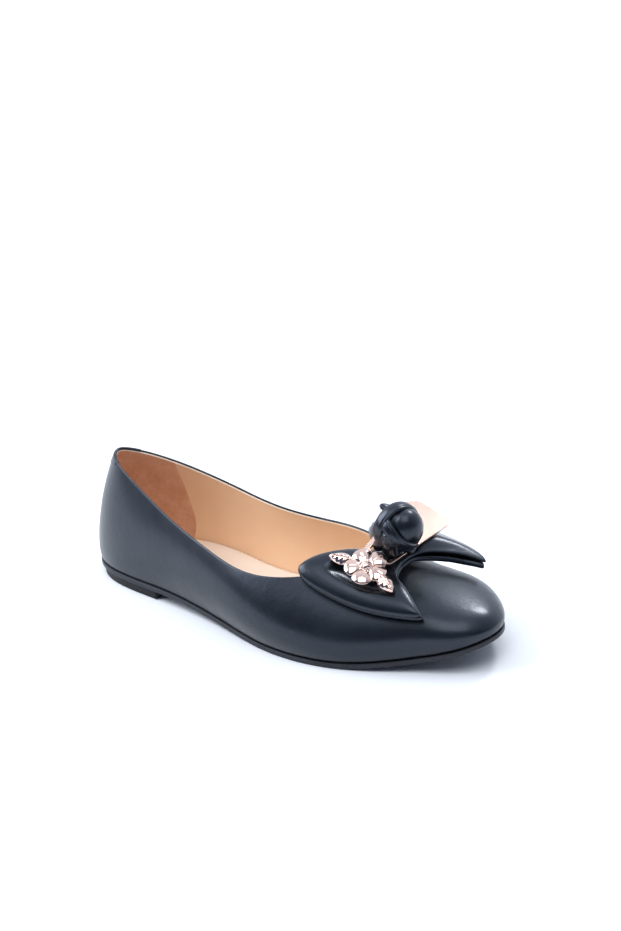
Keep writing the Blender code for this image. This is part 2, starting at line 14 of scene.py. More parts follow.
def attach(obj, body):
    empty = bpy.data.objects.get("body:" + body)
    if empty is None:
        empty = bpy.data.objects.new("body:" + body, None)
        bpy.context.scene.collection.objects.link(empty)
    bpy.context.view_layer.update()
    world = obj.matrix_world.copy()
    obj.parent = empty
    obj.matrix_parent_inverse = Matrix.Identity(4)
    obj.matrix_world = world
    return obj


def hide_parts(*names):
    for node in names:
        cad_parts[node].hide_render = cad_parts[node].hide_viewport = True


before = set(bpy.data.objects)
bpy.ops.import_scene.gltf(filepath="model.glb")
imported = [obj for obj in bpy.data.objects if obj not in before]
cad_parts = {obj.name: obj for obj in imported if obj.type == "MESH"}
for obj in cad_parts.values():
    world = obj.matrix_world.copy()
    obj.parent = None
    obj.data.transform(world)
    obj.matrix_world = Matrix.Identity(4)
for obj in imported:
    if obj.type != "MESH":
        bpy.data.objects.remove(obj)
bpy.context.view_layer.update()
MM = 0.001


# Camera. The photograph looks down on the outer side from ahead of the toe, through a long lens,
# and leans a little to the left.

AIM = Vector((97.25, 0, 20)) * MM
VIEW_TURN, VIEW_RISE, VIEW_LEAN = (math.radians(angle) for angle in (39.86, 27.49, -5.95))
VIEW_PAN, VIEW_TILT = math.radians(-0.460), math.radians(-1.605)
VIEW_DISTANCE, LENS = 1.880, 146.0

level_back = Vector((math.sin(VIEW_TURN), -math.cos(VIEW_TURN), 0))
back = level_back * math.cos(VIEW_RISE) + Vector((0, 0, math.sin(VIEW_RISE)))
right = Vector((0, 0, 1)).cross(back).normalized()
level = Matrix((right, back.cross(right), back)).transposed()
aside = Matrix.Rotation(VIEW_PAN, 3, "Z") @ Matrix.Rotation(-VIEW_TILT, 3, right)
turned = aside @ level @ Matrix.Rotation(VIEW_LEAN, 3, "Z")
camera = bpy.data.objects.new("camera", bpy.data.cameras.new("camera"))
camera.data.lens, camera.data.sensor_width = LENS, 36
camera.data.clip_start, camera.data.clip_end = 0.05, 40
camera.matrix_world = Matrix.Translation(AIM + back * VIEW_DISTANCE) @ turned.to_4x4()
bpy.context.scene.collection.objects.link(camera)
bpy.context.scene.camera = camera


# Floor, backdrop and lights. A white sweep, lit from behind by one large soft box, with a paler
# light from the heel's side. The room over the shoe is dimmer, which draws the leather's dark bands.


def linear(hex_color):
    """Linear colour, with alpha, from sRGB hex."""
    srgb = [int(hex_color[i : i + 2], 16) / 255 for i in (1, 3, 5)]
    return (*[c / 12.92 if c < 0.04045 else ((c + 0.055) / 1.055) ** 2.4 for c in srgb], 1)


def add(tree, kind, inputs=(), **settings):
    """Adds a node. Inputs are values, or the sockets that they are linked from."""
    made = tree.nodes.new("ShaderNode" + kind)
    for name, value in settings.items():
        setattr(made, name, value)
    for name, value in dict(inputs).items():
        if isinstance(value, bpy.types.NodeSocket):
            tree.links.new(value, made.inputs[name])
        else:
            made.inputs[name].default_value = value
    return made


def new_finish(name):
    """An empty material and its tree."""
    made = bpy.data.materials.new(name)
    made.use_nodes = True
    made.node_tree.nodes.clear()
    return made, made.node_tree


def set_surface(tree, inputs):
    """Ends the tree with one Principled surface, which takes the inputs."""
    add(tree, "OutputMaterial", {"Surface": add(tree, "BsdfPrincipled", inputs).outputs[0]})


SWEEP_WHITE, ROOM_DIM, ROOM_BRIGHT = "#F0F2F4", "#46526A", "#E6EFFF"
WINDOW_WAY = (-0.34, 0.88, 0.33)

floor = bpy.data.objects.new("floor", bpy.data.meshes.new("floor"))
floor.data.from_pydata([(-8, -8, 0), (8, -8, 0), (8, 8, 0), (-8, 8, 0)], [], [(0, 1, 2, 3)])
bpy.context.scene.collection.objects.link(floor)
paper, tree = new_finish("matt_white_paper")
set_surface(tree, {"Base Color": linear(SWEEP_WHITE), "Roughness": 0.9, "Specular IOR Level": 0.1})
floor.data.materials.append(paper)

world = bpy.data.worlds.new("studio")
bpy.context.scene.world = world
world.use_nodes = True
world.node_tree.nodes.clear()
direction = add(world.node_tree, "TexCoord")
toward_back = add(
    world.node_tree, "VectorMath", {0: direction.outputs["Generated"], 1: WINDOW_WAY}, operation="DOT_PRODUCT"
)
spread = add(
    world.node_tree,
    "MapRange",
    {"Value": toward_back.outputs["Value"], "From Min": -0.55, "From Max": 0.85},
    interpolation_type="SMOOTHSTEP",
)
walls = {"Color1": linear(ROOM_DIM), "Color2": linear(ROOM_BRIGHT)}
room = add(world.node_tree, "MixRGB", {"Fac": spread.outputs[0], **walls})
lit = add(world.node_tree, "Background", {"Color": room.outputs[0], "Strength": 1.2})
add(world.node_tree, "OutputWorld", {"Surface": lit.outputs[0]})


def soft_box(name, toward, distance, size, watts, tint, aim=(0.12, 0, 0.03)):
    """A square area light, in the direction `toward` from the aim."""
    lamp = bpy.data.lights.new(name, "AREA")
    lamp.size, lamp.energy, lamp.color = size, watts, linear(tint)[:3]
    made = bpy.data.objects.new(name, lamp)
    toward = Vector(toward).normalized()
    made.location = Vector(aim) + toward * distance
    made.rotation_euler = toward.to_track_quat("Z", "Y").to_euler()
    bpy.context.scene.collection.objects.link(made)


soft_box("back_soft_box", (-0.07, 0.70, 0.72), 1.6, 0.30, 9, "#FFFFFF", aim=(0.207, 0, 0.028))
soft_box("heel_side_soft_box", (-0.85, -0.42, 0.75), 2.0, 1.4, 40, "#F4F7FF")
soft_box("right_soft_box", (0.35, -0.55, 1.5), 2.4, 1.6, 24, "#FFFFFF")
bpy.context.scene.view_settings.view_transform = "Standard"


# The last. A shoemaker's form gives every piece its shape: a feather line round the foot, a ridge
# above it, and one curve that climbs from the line to the ridge.

FOOT_LENGTH, BALL_WIDTH, HEEL_WIDTH = 246 * MM, 82 * MM, 50 * MM
RIDGE_HEIGHT, COLLAR_HEIGHT, TOE_SPRING, HEEL_LIFT = 42.3 * MM, 70 * MM, 14.2 * MM, 5.2 * MM
HEEL_BLOCK_LENGTH, SOLE_THICKNESS, FIT_GAP, FEATHER_TUCK = 51.5 * MM, 2.6 * MM, 0.3 * MM, 3.6 * MM
ARCH_START, TREAD_START, TREAD_END = 0.20, 0.55, 0.67
RIDGE_START, RIDGE_END = 0.15, 0.95
OUTER, INNER = -1, 1


def columns(names, rows):
    """A table as one array for each named column."""
    return dict(zip(names.split(), np.array(rows, float).T))


OUTLINE = columns(
    "share ball outer inner",
    [
        (0.06, 0.0, 0.386, 0.336),
        (0.15, 0.0, 0.488, 0.496),
        (0.28, 0.3, 0.468, 0.430),
        (0.42, 0.7, 0.478, 0.327),
        (0.55, 1.0, 0.516, 0.406),
        (0.66, 1.0, 0.526, 0.473),
        (0.76, 1.0, 0.456, 0.451),
        (0.86, 1.0, 0.330, 0.405),
        (0.94, 1.0, 0.244, 0.277),
    ],
)
RIDGE = columns(
    "share height",
    [
        (0.12, 1.99),
        (0.35, 1.60),
        (0.5, 1.40),
        (0.6, 1.18),
        (0.7, 1.0),
        (0.78, 0.87),
        (0.86, 0.794),
        (0.95, 0.666),
    ],
)
SECTION = columns(
    "share tuck lean steep flat",
    [
        (0.0, 0.458, 0.074, 0.081, 0.684),
        (0.07, 0.222, 0.083, 0.15, 0.695),
        (0.2, 0.0, 0.153, 0.395, 0.645),
        (0.5, 0.0, 0.31, 0.51, 0.64),
        (0.75, 0.0, 0.242, 0.51, 0.62),
        (0.9, 0.10, 0.295, 0.616, 0.744),
        (1.0, 0.527, 0.295, 0.616, 0.741),
    ],
)
COLLAR = columns(
    "share height",
    [
        (0.0, 1.0),
        (0.12, 0.875),
        (0.25, 0.705),
        (0.38, 0.60),
        (0.5, 0.541),
        (0.58, 0.546),
        (0.66, 0.578),
        (0.72, 0.62),
    ],
)


def spline(at, knots, values):
    """A natural cubic through the values."""
    h, n = np.diff(knots), len(knots)
    left, rhs = np.eye(n), np.zeros(n)
    for i in range(1, n - 1):
        left[i, i - 1 : i + 2] = h[i - 1], 2 * (h[i - 1] + h[i]), h[i]
        rhs[i] = 6 * ((values[i + 1] - values[i]) / h[i] - (values[i] - values[i - 1]) / h[i - 1])
    bend = np.linalg.solve(left, rhs)
    at = np.clip(at, knots[0], knots[-1])
    i = np.clip(np.searchsorted(knots, at) - 1, 0, n - 2)
    a, b = (knots[i + 1] - at) / h[i], (at - knots[i]) / h[i]
    sag = ((a**3 - a) * bend[i] + (b**3 - b) * bend[i + 1]) * h[i] ** 2 / 6
    return a * values[i] + b * values[i + 1] + sag


def smooth(value, low=0.0, high=1.0):
    """0 below low, 1 above high, and an S between."""
    t = np.clip((value - low) / (high - low), 0, 1)
    return t * t * (3 - 2 * t)


def turn_at(share):
    """The turn, 0 at the back of the heel and pi at the toe."""
    return np.arccos(np.clip(1 - 2 * np.asarray(share, float), -1, 1))


def share_at(turn):
    return (1 - np.cos(turn)) / 2


def half_width(side, turn):
    """Half width of the feather line, round at the heel and the toe."""
    share, ball = OUTLINE["share"], OUTLINE["ball"]
    half = OUTLINE["outer" if side == OUTER else "inner"] * (HEEL_WIDTH * (1 - ball) + BALL_WIDTH * ball)
    knots, values = np.r_[0, turn_at(share), np.pi], np.r_[0, half, 0]
    knots = np.r_[-knots[3:0:-1], knots, 2 * np.pi - knots[-2:-5:-1]]
    return spline(turn, knots, np.r_[-values[3:0:-1], values, -values[-2:-5:-1]])


def underside(share):
    """Height of the sole's underside: the heel's lift, the arch, the tread and the toe spring."""
    share = np.clip(share, 0, 1)
    arch = smooth((TREAD_START - share) / (TREAD_START - ARCH_START))
    return HEEL_LIFT * arch + TOE_SPRING * np.clip((share - TREAD_END) / (1 - TREAD_END), 0, 1) ** 2


def feather(side, turn, inset=0.0, height=0.0):
    """Points of the feather line, moved in square to it, at a height above the underside."""
    step = 1e-4
    inset = inset + FEATHER_TUCK * spline(share_at(turn), SECTION["share"], SECTION["tuck"])
    x, y = share_at(turn) * FOOT_LENGTH, side * half_width(side, turn)
    dx = np.sin(turn) * FOOT_LENGTH / 2
    dy = side * (half_width(side, turn + step) - half_width(side, turn - step)) / (2 * step)
    size = np.hypot(dx, dy) * side
    x, y = x - inset * -dy / size, y - inset * dx / size
    return np.stack([x, y, underside(x / FOOT_LENGTH) + height], -1)


def ridge(share):
    """Height and slope of the ridge."""
    step = 1e-3
    places = [share - step, share, share + step]
    height = [RIDGE_HEIGHT * spline(place, RIDGE["share"], RIDGE["height"]) for place in places]
    return height[1], (height[2] - height[0]) / (2 * step * FOOT_LENGTH)


def last(side, turn, up):
    """The last's surface, from the feather line (up = 0) to the ridge (up = 1)."""
    turn, up = np.broadcast_arrays(np.asarray(turn, float), np.asarray(up, float))
    share = share_at(turn)
    foot = feather(side, turn, height=SOLE_THICKNESS + FIT_GAP)
    along = RIDGE_START + (RIDGE_END - RIDGE_START) * share
    height, slope = ridge(along)
    crown = np.stack([along * FOOT_LENGTH, 0 * along, height], -1)
    out = foot - crown
    reach = np.hypot(out[..., 0], out[..., 1])
    out = out / reach[..., None]
    rise = height - foot[..., 2]
    lean, steep, flat = (spline(share, SECTION["share"], SECTION[name]) for name in ("lean", "steep", "flat"))
    low, high = foot.copy(), crown.copy()
    low[..., :2] += out[..., :2] * (lean * rise)[..., None]
    low[..., 2] += steep * rise
    high[..., :2] += out[..., :2] * (flat * reach)[..., None]
    high[..., 2] += slope * out[..., 0] * flat * reach
    u = up[..., None]
    return (1 - u) ** 3 * foot + 3 * (1 - u) ** 2 * u * low + 3 * (1 - u) * u * u * high + u**3 * crown


def outward(side, turn, up):
    """Unit normals of the last."""
    step = 1e-4
    turn, up = np.clip(turn, 2 * step, np.pi - 2 * step), np.clip(up, 0, 1)
    high, low = np.minimum(up + step, 1), np.maximum(up - step, 0)
    along = last(side, turn + step, up) - last(side, turn - step, up)
    normal = np.cross(along, last(side, turn, high) - last(side, turn, low))
    return -side * normal / np.linalg.norm(normal, axis=-1)[..., None]


def grid_faces(rows, cols, start=0):
    """Quads of a grid of points, row after row."""
    corner = start + np.arange(rows - 1)[:, None] * cols + np.arange(cols - 1)[None, :]
    return np.stack([corner, corner + 1, corner + cols + 1, corner + cols], -1).reshape(-1, 4)


def piece(name, points, faces, look, slot, replaces=(), from_heel=True):
    """A smooth mesh that rides on the shoe. Its points are measured from the back of the heel."""
    points = np.asarray(points, float).reshape(-1, 3) - ((HEEL_BLOCK_LENGTH / 2, 0, 0) if from_heel else 0)
    shape = bmesh.new()
    verts = [shape.verts.new(point) for point in points]
    for face in faces:
        shape.faces.new([verts[i] for i in face])
    bmesh.ops.remove_doubles(shape, verts=shape.verts, dist=2e-6)
    bmesh.ops.dissolve_degenerate(shape, edges=shape.edges, dist=1e-7)
    bmesh.ops.recalc_face_normals(shape, faces=shape.faces)
    mesh = bpy.data.meshes.new(name)
    shape.to_mesh(mesh)
    shape.free()
    mesh.polygons.foreach_set("use_smooth", [True] * len(mesh.polygons))
    mesh.materials.append(look)
    made = bpy.data.objects.new(name, mesh)
    bpy.context.scene.collection.objects.link(made)
    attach(made, "root")
    if replaces:
        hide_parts(*replaces)
    return made


# Outsole and heel. A thin sheet sole of moulded rubber with a dressed edge, over a low block of
# the same height all along, with a straight breast. The sole stands out a little past the upper.

SOLE_MARGIN, EDGE_ROUND = 0.8 * MM, 0.55 * MM
HEEL_BLOCK_INSET, TIP_THICKNESS, HEEL_ROUND = 0.7 * MM, 2.0 * MM, 0.25 * MM
SOLE_BLACK, SOLE_GREY, HEEL_BLACK = "#222327", "#3A3D43", "#1B1C1F"
STIPPLE_WIDTH = 0.9  # mm, the pits of the sand-blasted mould, drawn three times too coarse so that they show


def moulded_rubber(name, dark, light, roughness):
    """Moulded rubber: near black, satin, with a faint stipple that breaks up its reflections."""
    made, tree = new_finish(name)
    place = add(tree, "TexCoord").outputs["Object"]
    bloom = add(tree, "TexNoise", {"Vector": place, "Scale": 60, "Detail": 3})
    tones = {"Color1": linear(dark), "Color2": linear(light)}
    shade = add(tree, "MixRGB", {"Fac": bloom.outputs["Fac"], **tones})
    pits = add(tree, "TexVoronoi", {"Vector": place, "Scale": 1000 / STIPPLE_WIDTH, "Randomness": 1.0})
    rubbed = {"To Min": roughness - 0.08, "To Max": roughness + 0.12}
    rub = add(tree, "MapRange", {"Value": bloom.outputs["Fac"], **rubbed})
    bump = add(tree, "Bump", {"Height": pits.outputs["Distance"], "Strength": 0.12, "Distance": 0.0002})
    looks = {"Base Color": shade.outputs[0], "Roughness": rub.outputs[0], "Normal": bump.outputs[0]}
    set_surface(tree, {**looks, "IOR": 1.52, "Specular IOR Level": 0.22})
    return made


def slab(turns, levels):
    """Points and faces of a sheet that follows the feather line. A level is an inset and a height."""
    n, points, faces = len(turns), [], []
    for inset, height in levels:
        for side in (OUTER, INNER):
            edge = feather(side, turns, inset)
            edge[:, 2] = height(np.clip(edge[:, 0] / FOOT_LENGTH, 0, 1))
            points.append(edge)
    for level in range(len(levels) - 1):
        for a in (2 * level * n, (2 * level + 1) * n):
            faces += [(a + i, a + i + 1, a + 2 * n + i + 1, a + 2 * n + i) for i in range(n - 1)]
        a = 2 * level * n
        faces += [(a + i, a + n + i, a + 3 * n + i, a + 2 * n + i) for i in (0, n - 1)]
    for a in (0, 2 * (len(levels) - 1) * n):
        faces += [(a + i, a + i + 1, a + n + i + 1, a + n + i) for i in range(n - 1)]
    return np.concatenate(points), faces


def rounded_edge(inset, low, high, radius, steps=5):
    """Levels of a slab's side with round lower and upper arrises."""
    quarter = np.linspace(0, np.pi / 2, steps)
    less_sine, less_cosine = radius * (1 - np.sin(quarter)), radius * (1 - np.cos(quarter))
    bottom = [(inset + i, lambda s, up=up: low(s) + up) for i, up in zip(less_sine, less_cosine)]
    top = [(inset + i, lambda s, down=down: high(s) - down) for i, down in zip(less_cosine, less_sine)]
    return bottom + top


sole_turns = np.linspace(0, np.pi, 261)
sole_levels = rounded_edge(-SOLE_MARGIN, underside, lambda s: underside(s) + SOLE_THICKNESS, EDGE_ROUND)
sole_rubber = moulded_rubber("moulded_rubber_sole", SOLE_BLACK, SOLE_GREY, 0.42)
piece("outsole_dressed", *slab(sole_turns, sole_levels), sole_rubber, slot="sole", replaces=["outsole"])

heel_turns = np.linspace(0, turn_at(HEEL_BLOCK_LENGTH / FOOT_LENGTH), 90)


def flat(share):
    return 0 * share


def tip_top(share):
    return TIP_THICKNESS + 0 * share


def block_top(share):
    return underside(share) - FIT_GAP


heel_levels = rounded_edge(HEEL_BLOCK_INSET, flat, tip_top, HEEL_ROUND)
heel_levels += rounded_edge(HEEL_BLOCK_INSET, tip_top, block_top, HEEL_ROUND)
heel_rubber = moulded_rubber("moulded_rubber_heel", HEEL_BLACK, SOLE_BLACK, 0.5)
piece("heel_block_dressed", *slab(heel_turns, heel_levels), heel_rubber, slot="sole", replaces=["heel_block"])


# Insole. A thin board under a soft cream leather sock, which lies inside the wall of the upper and
# dips a little in the middle, where the foot presses.

UPPER_WALL, INSOLE_THICKNESS, SOCK_DIP = 1.6 * MM, 2.2 * MM, 0.5 * MM
SOCK_COLUMNS, SOCK_ROWS = 221, 33
SOCK_CREAM, SOCK_SAND = "#F7EADB", "#EEDAC4"
PORE_WIDTH = 0.7  # mm, twice the real pores of sheepskin, so that they show


def lining_leather(name, pale, deep, roughness):
    """Undyed lining leather: warm and matt, cloudy in colour, with fine pores."""
    made, tree = new_finish(name)
    place = add(tree, "TexCoord").outputs["Object"]
    cloud = add(tree, "TexNoise", {"Vector": place, "Scale": 38, "Detail": 4, "Roughness": 0.6})
    shade = add(tree, "MixRGB", {"Fac": cloud.outputs["Fac"], "Color1": linear(pale), "Color2": linear(deep)})
    pores = add(tree, "TexVoronoi", {"Vector": place, "Scale": 1000 / PORE_WIDTH})
    grain = add(tree, "TexNoise", {"Vector": place, "Scale": 420, "Detail": 3})
    relief = add(tree, "Math", {0: pores.outputs["Distance"], 1: grain.outputs["Fac"]}, operation="ADD")
    bump = add(tree, "Bump", {"Height": relief.outputs[0], "Strength": 0.14, "Distance": 0.0003})
    rubbed = {"To Min": roughness - 0.08, "To Max": roughness + 0.1}
    rub = add(tree, "MapRange", {"Value": cloud.outputs["Fac"], **rubbed})
    looks = {"Base Color": shade.outputs[0], "Roughness": rub.outputs[0], "Normal": bump.outputs[0]}
    set_surface(tree, {**looks, "IOR": 1.48, "Sheen Weight": 0.12, "Sheen Roughness": 0.5})
    return made


sock_inset = UPPER_WALL + 2 * FIT_GAP
turns, across = np.linspace(0, np.pi, SOCK_COLUMNS), np.linspace(-1, 1, SOCK_ROWS)
outer_edge, inner_edge = feather(OUTER, turns, sock_inset), feather(INNER, turns, sock_inset)
mix = (across[:, None, None] + 1) / 2
board = outer_edge * (1 - mix) + inner_edge * mix
board[..., 2] = underside(board[..., 0] / FOOT_LENGTH) + SOLE_THICKNESS + FIT_GAP
roundness = np.clip(1 - np.maximum(np.abs(across[:, None]), 1 - np.sin(turns)) ** 8, 0, 1) ** 0.5
sock = board.copy()
sock[..., 2] += INSOLE_THICKNESS * (0.55 + 0.45 * roundness)
sock[..., 2] -= SOCK_DIP * (1 - np.abs(across[:, None]) ** 2.5) * np.sin(turns)
n = SOCK_ROWS * SOCK_COLUMNS
sock_faces = [*grid_faces(SOCK_ROWS, SOCK_COLUMNS), *grid_faces(SOCK_ROWS, SOCK_COLUMNS, n)[:, ::-1]]
for start in (0, n - SOCK_COLUMNS):
    sock_faces += [(c, c + 1, n + c + 1, n + c) for c in range(start, start + SOCK_COLUMNS - 1)]
sock_points = np.concatenate([sock.reshape(-1, 3), board.reshape(-1, 3)])
sheepskin = lining_leather("sheepskin_sock", SOCK_CREAM, SOCK_SAND, 0.55)
piece("insole_sock", sock_points, sock_faces, sheepskin, slot="insole", replaces=["insole"])


# Upper. Black calf, drawn over the last and turned under at the feather line. Its collar edge is
# folded over and in. A closed seam joins the quarter and the vamp on the inner side.

BACK_COLUMNS, FRONT_COLUMNS, ROWS = 250, 120, 76
THROAT_LEAN = 0.36  # how far ahead of the throat, in turn, its column starts on the feather line
TURN_UNDER, LASTING_MARGIN = 1.4 * MM, 6 * MM
SEAM_SHARE, SEAM_SLANT, SEAM_DEPTH, SEAM_WIDTH = 0.315, 0.018, 0.75 * MM, 0.7 * MM
FOLD_THICKNESS, SKIVED_BAND = 1.1 * MM, 9 * MM
FLEX_TROUGHS = ((0.585, 0.020, 0.05), (0.625, 0.024, 0.07), (0.67, 0.020, 0.04))  # place, width, depth in mm
CALF_BLACK, CALF_SLATE, CALF_SHINE = "#0B0D10", "#12151A", "#C0CFE4"
CALF_PORE = 0.8  # mm, about twice the real hair pores, so that they show
CALF_CREASE = 2.6  # mm between the fine creases of leather that is pulled over a form


def black_calf(name, roughness=0.34):
    """Smooth black calf, waxed and brushed: a soft gloss with fine pores and faint pulled creases."""
    made, tree = new_finish(name)
    place = add(tree, "TexCoord").outputs["Object"]
    cloud = add(tree, "TexNoise", {"Vector": place, "Scale": 45, "Detail": 5, "Roughness": 0.55})
    tones = {"Color1": linear(CALF_BLACK), "Color2": linear(CALF_SLATE)}
    shade = add(tree, "MixRGB", {"Fac": cloud.outputs["Fac"], **tones})
    pores = add(tree, "TexVoronoi", {"Vector": place, "Scale": 1000 / CALF_PORE}, feature="SMOOTH_F1")
    creased = {"Scale": 1000 / CALF_CREASE, "Detail": 2, "Roughness": 0.5, "Distortion": 0.6}
    crease = add(tree, "TexNoise", {"Vector": place, **creased})
    pull = add(tree, "TexNoise", {"Vector": place, "Scale": 120, "Detail": 2})
    fine = add(tree, "Bump", {"Height": pores.outputs["Distance"], "Strength": 0.10, "Distance": 0.00025})
    folded = {"Height": crease.outputs["Fac"], "Strength": 0.10, "Distance": 0.0006}
    folds = add(tree, "Bump", {**folded, "Normal": fine.outputs[0]})
    pulled = {"Height": pull.outputs["Fac"], "Strength": 0.10, "Distance": 0.0012}
    drawn = add(tree, "Bump", {**pulled, "Normal": folds.outputs[0]})
    waxed = {"From Min": 0.3, "From Max": 0.7, "To Min": roughness - 0.05, "To Max": roughness + 0.07}
    rub = add(tree, "MapRange", {"Value": cloud.outputs["Fac"], **waxed})
    looks = {"Base Color": shade.outputs[0], "Roughness": rub.outputs[0], "Normal": drawn.outputs[0]}
    gloss = {"Specular Tint": linear(CALF_SHINE), "Specular IOR Level": 0.65}
    coat = {"Coat Weight": 0.18, "Coat Roughness": 0.20, "Coat IOR": 1.45}
    set_surface(tree, {**looks, **gloss, **coat, "IOR": 1.5})
    return made


def collar_edge(side, count):
    """(turn, up) of points on the collar's edge, from the back of the heel to the throat."""

    def above(turn, up):
        point = last(side, turn, up)
        edge = spline(point[..., 0] / FOOT_LENGTH, COLLAR["share"], COLLAR["height"])
        return point[..., 2] - COLLAR_HEIGHT * edge

    def cross(below, over, at):
        for _ in range(40):
            middle = (below + over) / 2
            high = above(*at(middle)) > 0
            below, over = np.where(high, below, middle), np.where(high, middle, over)
        return at((below + over) / 2)

    first = np.linspace(0, turn_at(0.5), 200)
    turn, up = cross(0 * first, 0 * first + 1, lambda middle: (first, middle))
    ups = np.linspace(up[-1], 1, 200)[1:]
    more = cross(0 * ups + turn_at(0.85), 0 * ups + turn_at(0.4), lambda middle: (middle, ups))
    turn, up = np.r_[turn, more[0]], np.r_[up, more[1]]
    run = np.r_[0, np.cumsum(np.linalg.norm(np.diff(last(side, turn, up), axis=0), axis=-1))]
    part_way = np.linspace(0, 1, count)
    at = run[-1] * part_way * (0.55 + 0.45 * part_way)
    return np.interp(at, run, turn), np.interp(at, run, up)


def upper_columns(side):
    """(low turn, top turn, top up) of the columns, which end on the collar's edge or on the ridge."""
    turn, up = collar_edge(side, BACK_COLUMNS)
    throat = turn[-1]
    onward = np.linspace(0, 1, FRONT_COLUMNS + 1)[1:]
    ahead = turn_at(share_at(throat) + (1 - share_at(throat)) * onward)
    t = np.linspace(0, 1, BACK_COLUMNS) * (0.55 + 0.45 * np.linspace(0, 1, BACK_COLUMNS))
    low_back = (throat + THROAT_LEAN) * (0.82 * t + 0.18 * t**2)
    low_front = throat + THROAT_LEAN + (np.pi - throat - THROAT_LEAN) * onward
    return np.r_[low_back, low_front], np.r_[turn, ahead], np.r_[up, np.ones(FRONT_COLUMNS)]


def upper_grid(side, rises):
    """Points and outward normals of the upper at each rise, 0 on the feather line and 1 at the top."""
    low, turn, up = upper_columns(side)
    rise = np.asarray(rises, float).reshape(len(rises), -1)
    at = low + (turn - low) * rise, up * rise
    normal = outward(side, *at)
    ridge_row = at[1] > 1 - 1e-9
    normal[ridge_row, 1] = 0
    return last(side, *at), normal / np.linalg.norm(normal, axis=-1)[..., None], at


def relief(side, at, points, depth):
    """How far the leather stands off the last: the seam, and soft troughs and ridges."""
    height, x = at[1], points[..., 0] / FOOT_LENGTH
    lift = 0 * x
    if side == INNER:
        across = (x - SEAM_SHARE - SEAM_SLANT * (height - 0.4)) * FOOT_LENGTH / SEAM_WIDTH
        pulled = 0.28 * MM * np.exp(-((across - 2.6) ** 2) / 3) - SEAM_DEPTH * np.exp(-(across**2))
        lift = lift + pulled * smooth(depth, 0.4 * MM, 4 * MM)
    low = np.exp(-((height / 0.16) ** 2))
    waist = np.exp(-(((x - 0.40) / 0.09) ** 2))
    lift = lift + 0.05 * MM * low * waist * np.sin(2 * np.pi * (x * 16 + height * 2.2))
    toe = smooth(x, 0.74, 0.86)
    gathers = np.sin(at[0] * 46 + 2.0 * np.sin(at[0] * 9))
    lift = lift + 0.05 * MM * np.exp(-((height / 0.10) ** 2)) * toe * gathers
    flex = np.exp(-(((height - 0.45) / 0.22) ** 2))
    for place, width, size in FLEX_TROUGHS:
        lift = lift - size * MM * flex * np.exp(-(((x - place - 0.05 * (height - 0.45)) / width) ** 2))
    return lift


def wall(depth):
    """Thickness of the calf at a depth below the collar, where it is skived to fold."""
    return FOLD_THICKNESS + (UPPER_WALL - FOLD_THICKNESS) * smooth(depth, 0, SKIVED_BAND)


def run_down(points):
    """Depth of each point of the upper's grid below the collar's edge."""
    step = np.linalg.norm(np.diff(points, axis=0), axis=-1)
    depth = np.concatenate([np.cumsum(step[::-1], axis=0)[::-1], np.zeros((1, points.shape[1]))])
    past_throat = 0.6 * MM * np.arange(1, FRONT_COLUMNS + 1)
    depth[:, BACK_COLUMNS:] = depth[:, BACK_COLUMNS - 1 : BACK_COLUMNS] + past_throat
    return depth


rises = np.r_[0, np.linspace(0.004, 0.05, 7), np.linspace(0.05, 1, ROWS - 7)[1:]]
collar_loops, leather, back_part = {}, {}, slice(0, BACK_COLUMNS)
for side in (OUTER, INNER):
    points, normals, at = upper_grid(side, rises)
    lift = relief(side, at, points, run_down(points)) * smooth(np.arange(len(rises))[:, None], -1, 4)
    outer_skin = points + normals * lift[..., None]
    tall = np.clip(points[..., 2] - points[0, :, 2], 0, TURN_UNDER)
    tuck = TURN_UNDER - np.sqrt(TURN_UNDER**2 - (TURN_UNDER - tall) ** 2)
    into = feather(side, upper_columns(side)[0], TURN_UNDER) - feather(side, upper_columns(side)[0])
    into[:, 2] = 0
    outer_skin += into[None] * (tuck / TURN_UNDER)[..., None]
    leather[side] = outer_skin
    collar_loops[side] = [rows[back_part] for rows in (outer_skin[-1], normals[-1], points[-1] - points[-4])]


def collar_frame(side):
    """The collar's edge: its points, the outward normals, and the way off the leather."""
    edge, normal, away = collar_loops[side]
    other = collar_loops[-side][0]
    line = np.concatenate([other[1:2], edge, other[-2:-1]])
    along = line[2:] - line[:-2]
    along /= np.linalg.norm(along, axis=-1)[:, None]
    off = np.cross(along, normal)
    off /= np.linalg.norm(off, axis=-1)[:, None]
    return edge, normal, off * np.sign((off * away).sum(-1))[:, None]


def merged(parts):
    """Several points-and-faces pairs as one."""
    points, faces, total = [], [], 0
    for some, quads in parts:
        points.append(np.asarray(some, float).reshape(-1, 3))
        faces.append(np.asarray(quads) + total)
        total += len(points[-1])
    return np.concatenate(points), np.concatenate(faces)


FOLD_STEPS = 9
upper_parts = []
for side in (OUTER, INNER):
    skin, low = leather[side], upper_columns(side)[0]
    rows, cols = skin.shape[:2]
    under = skin[0] + (feather(side, low, LASTING_MARGIN) - feather(side, low, TURN_UNDER)) * (1, 1, 0)
    upper_parts.append((np.concatenate([under[None], skin]), grid_faces(rows + 1, cols)))
    edge, normal, off = collar_frame(side)
    half = FOLD_THICKNESS / 2
    fold = [edge]
    for a in np.linspace(0, np.pi, FOLD_STEPS)[1:]:
        fold.append(edge - normal * half + (normal * np.cos(a) + off * np.sin(a)) * half)
    fold.append(edge - normal * FOLD_THICKNESS - off * 1.5 * MM)
    upper_parts.append((fold, grid_faces(len(fold), BACK_COLUMNS)))
calf = black_calf("waxed_black_calf")
upper = piece("upper_calf", *merged(upper_parts), calf, slot="upper", replaces=["upper"])

